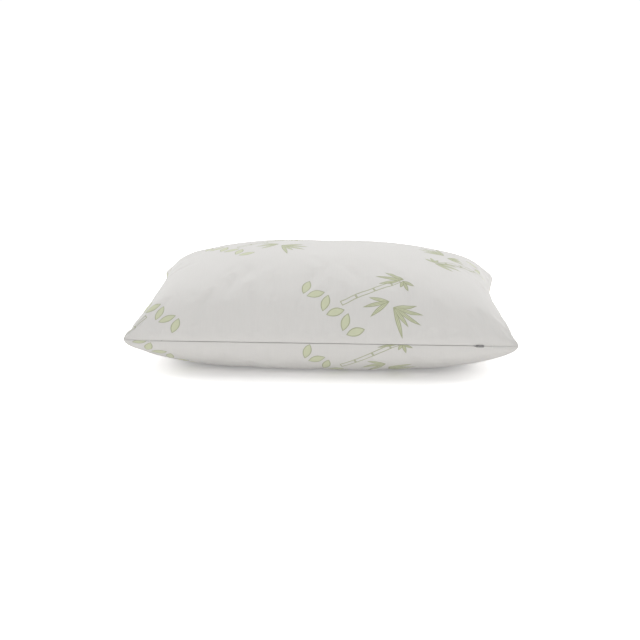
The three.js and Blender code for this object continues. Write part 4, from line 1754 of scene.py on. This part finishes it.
# ---- Studio ------------------------------------------------------------------------------------------


@dataclass(frozen=True)
class SoftLight:
    """One softbox: a flat rectangle of light, turned towards the pillow."""

    name: str
    place: tuple[float, float, float]
    size: tuple[float, float]
    watts: float

    def hang(self) -> None:
        """Hangs the light."""
        data = bpy.data.lights.new(self.name, "AREA")
        data.shape = "RECTANGLE"
        data.size, data.size_y = self.size
        data.energy = self.watts
        light = bpy.data.objects.new(self.name, data)
        light.location = self.place
        light.rotation_euler = (PILLOW_MIDDLE - Vector(self.place)).to_track_quat("-Z", "Y").to_euler()
        bpy.context.scene.collection.objects.link(light)


SENSOR_WIDTH = 36.0
PILLOW_MIDDLE = Vector((0, 0, 0.1))


@dataclass
class Studio:
    """A white sweep, soft lights and the camera."""

    look_at: tuple[float, float, float] = (-0.009, 0.0, 0.0458)
    eye: tuple[float, float, float] = (0.0801, -2.2043, 0.7315)
    lens: float = 64.5
    roll: float = math.radians(0.18)
    sky: float = 0.40
    backdrop: float = 1.05
    floor_half: float = 15.0
    lights: tuple[SoftLight, ...] = (
        SoftLight("overhead", (0.0, 0.7, 2.4), (3.2, 2.2), 33.0),
        SoftLight("front", (0.0, -2.8, 0.35), (3.4, 0.6), 21.5),
        SoftLight("left", (-2.2, 1.1, 0.9), (1.6, 1.4), 19.0),
        SoftLight("right", (2.2, 1.1, 0.9), (1.6, 1.4), 19.0),
    )

    def build(self) -> None:
        """Sets up the camera, the sky, the lights and the floor."""
        scene = bpy.context.scene
        scene.view_settings.view_transform = "Standard"
        data = bpy.data.cameras.new("camera")
        data.lens = self.lens
        data.sensor_width = SENSOR_WIDTH
        camera = bpy.data.objects.new("camera", data)
        eye = Vector(self.eye)
        aim = (Vector(self.look_at) - eye).to_track_quat("-Z", "Y").to_matrix().to_4x4()
        camera.matrix_world = Matrix.Translation(eye) @ aim @ Matrix.Rotation(self.roll, 4, "Z")
        scene.collection.objects.link(camera)
        scene.camera = camera
        for light in self.lights:
            light.hang()
        self._sky(scene)
        corners = self.floor_half * np.array([[-1, -1, 0], [1, -1, 0], [1, 1, 0], [-1, 1, 0]])
        floor = mesh_piece("floor", corners, np.array([[0, 1, 2, 3]]))
        floor.data.materials.append(FloorFinish().make())

    def _sky(self, scene: bpy.types.Scene) -> None:
        """Lights the scene evenly from all round, and shows white behind it.

        Args:
            scene: the scene.
        """
        world = bpy.data.worlds.new("sky")
        world.use_nodes = True
        nodes, links = world.node_tree.nodes, world.node_tree.links
        nodes.clear()
        seen = nodes.new("ShaderNodeLightPath")
        strength = nodes.new("ShaderNodeMapRange")
        strength.inputs["To Min"].default_value = self.sky
        strength.inputs["To Max"].default_value = self.backdrop
        backdrop = nodes.new("ShaderNodeBackground")
        backdrop.inputs["Color"].default_value = (*WHITE, 1.0)
        output = nodes.new("ShaderNodeOutputWorld")
        links.new(seen.outputs["Is Camera Ray"], strength.inputs["Value"])
        links.new(strength.outputs["Result"], backdrop.inputs["Strength"])
        links.new(backdrop.outputs["Background"], output.inputs["Surface"])
        scene.world = world


def main() -> None:
    """Builds the pillow from the outside in, then the studio round it."""
    logging.basicConfig(level=logging.INFO, format="%(name)s: %(message)s")
    Studio().build()
    form = PillowForm.from_frame()
    settling = Settling(form)
    settling.run()
    wardrobe = Wardrobe()

    cover_bag = Bag(
        form,
        settling,
        Layer(),
        thickness=0.0012,
        seam_gap=0.0003,
        allowance=0.008,
        cut=(0.76, 0.51),
        columns=217,
        rows=145,
        lip_gap=0.0006,
        under_print=(-0.003, -0.391),
    )
    liner_bag = Bag(
        form,
        settling,
        Layer(inset=0.014, crown=0.0017),
        thickness=0.0006,
        seam_gap=0.0003,
        allowance=0.006,
        cut=(0.735, 0.485),
        columns=121,
        rows=81,
    )
    cover = Cover(cover_bag, wardrobe)
    cover_pieces = cover.build()
    filling_pieces = Filling(form, Layer(inset=0.023, crown=0.0032), wardrobe).build()
    liner_pieces = Liner(liner_bag, wardrobe).build()
    zip_pieces = Zip(form, wardrobe).build()
    for piece in [*cover_pieces, *liner_pieces, *filling_pieces, *zip_pieces]:
        log.info("%s: %d faces", piece.name, len(piece.data.polygons))


if __name__ == "__main__":
    main()
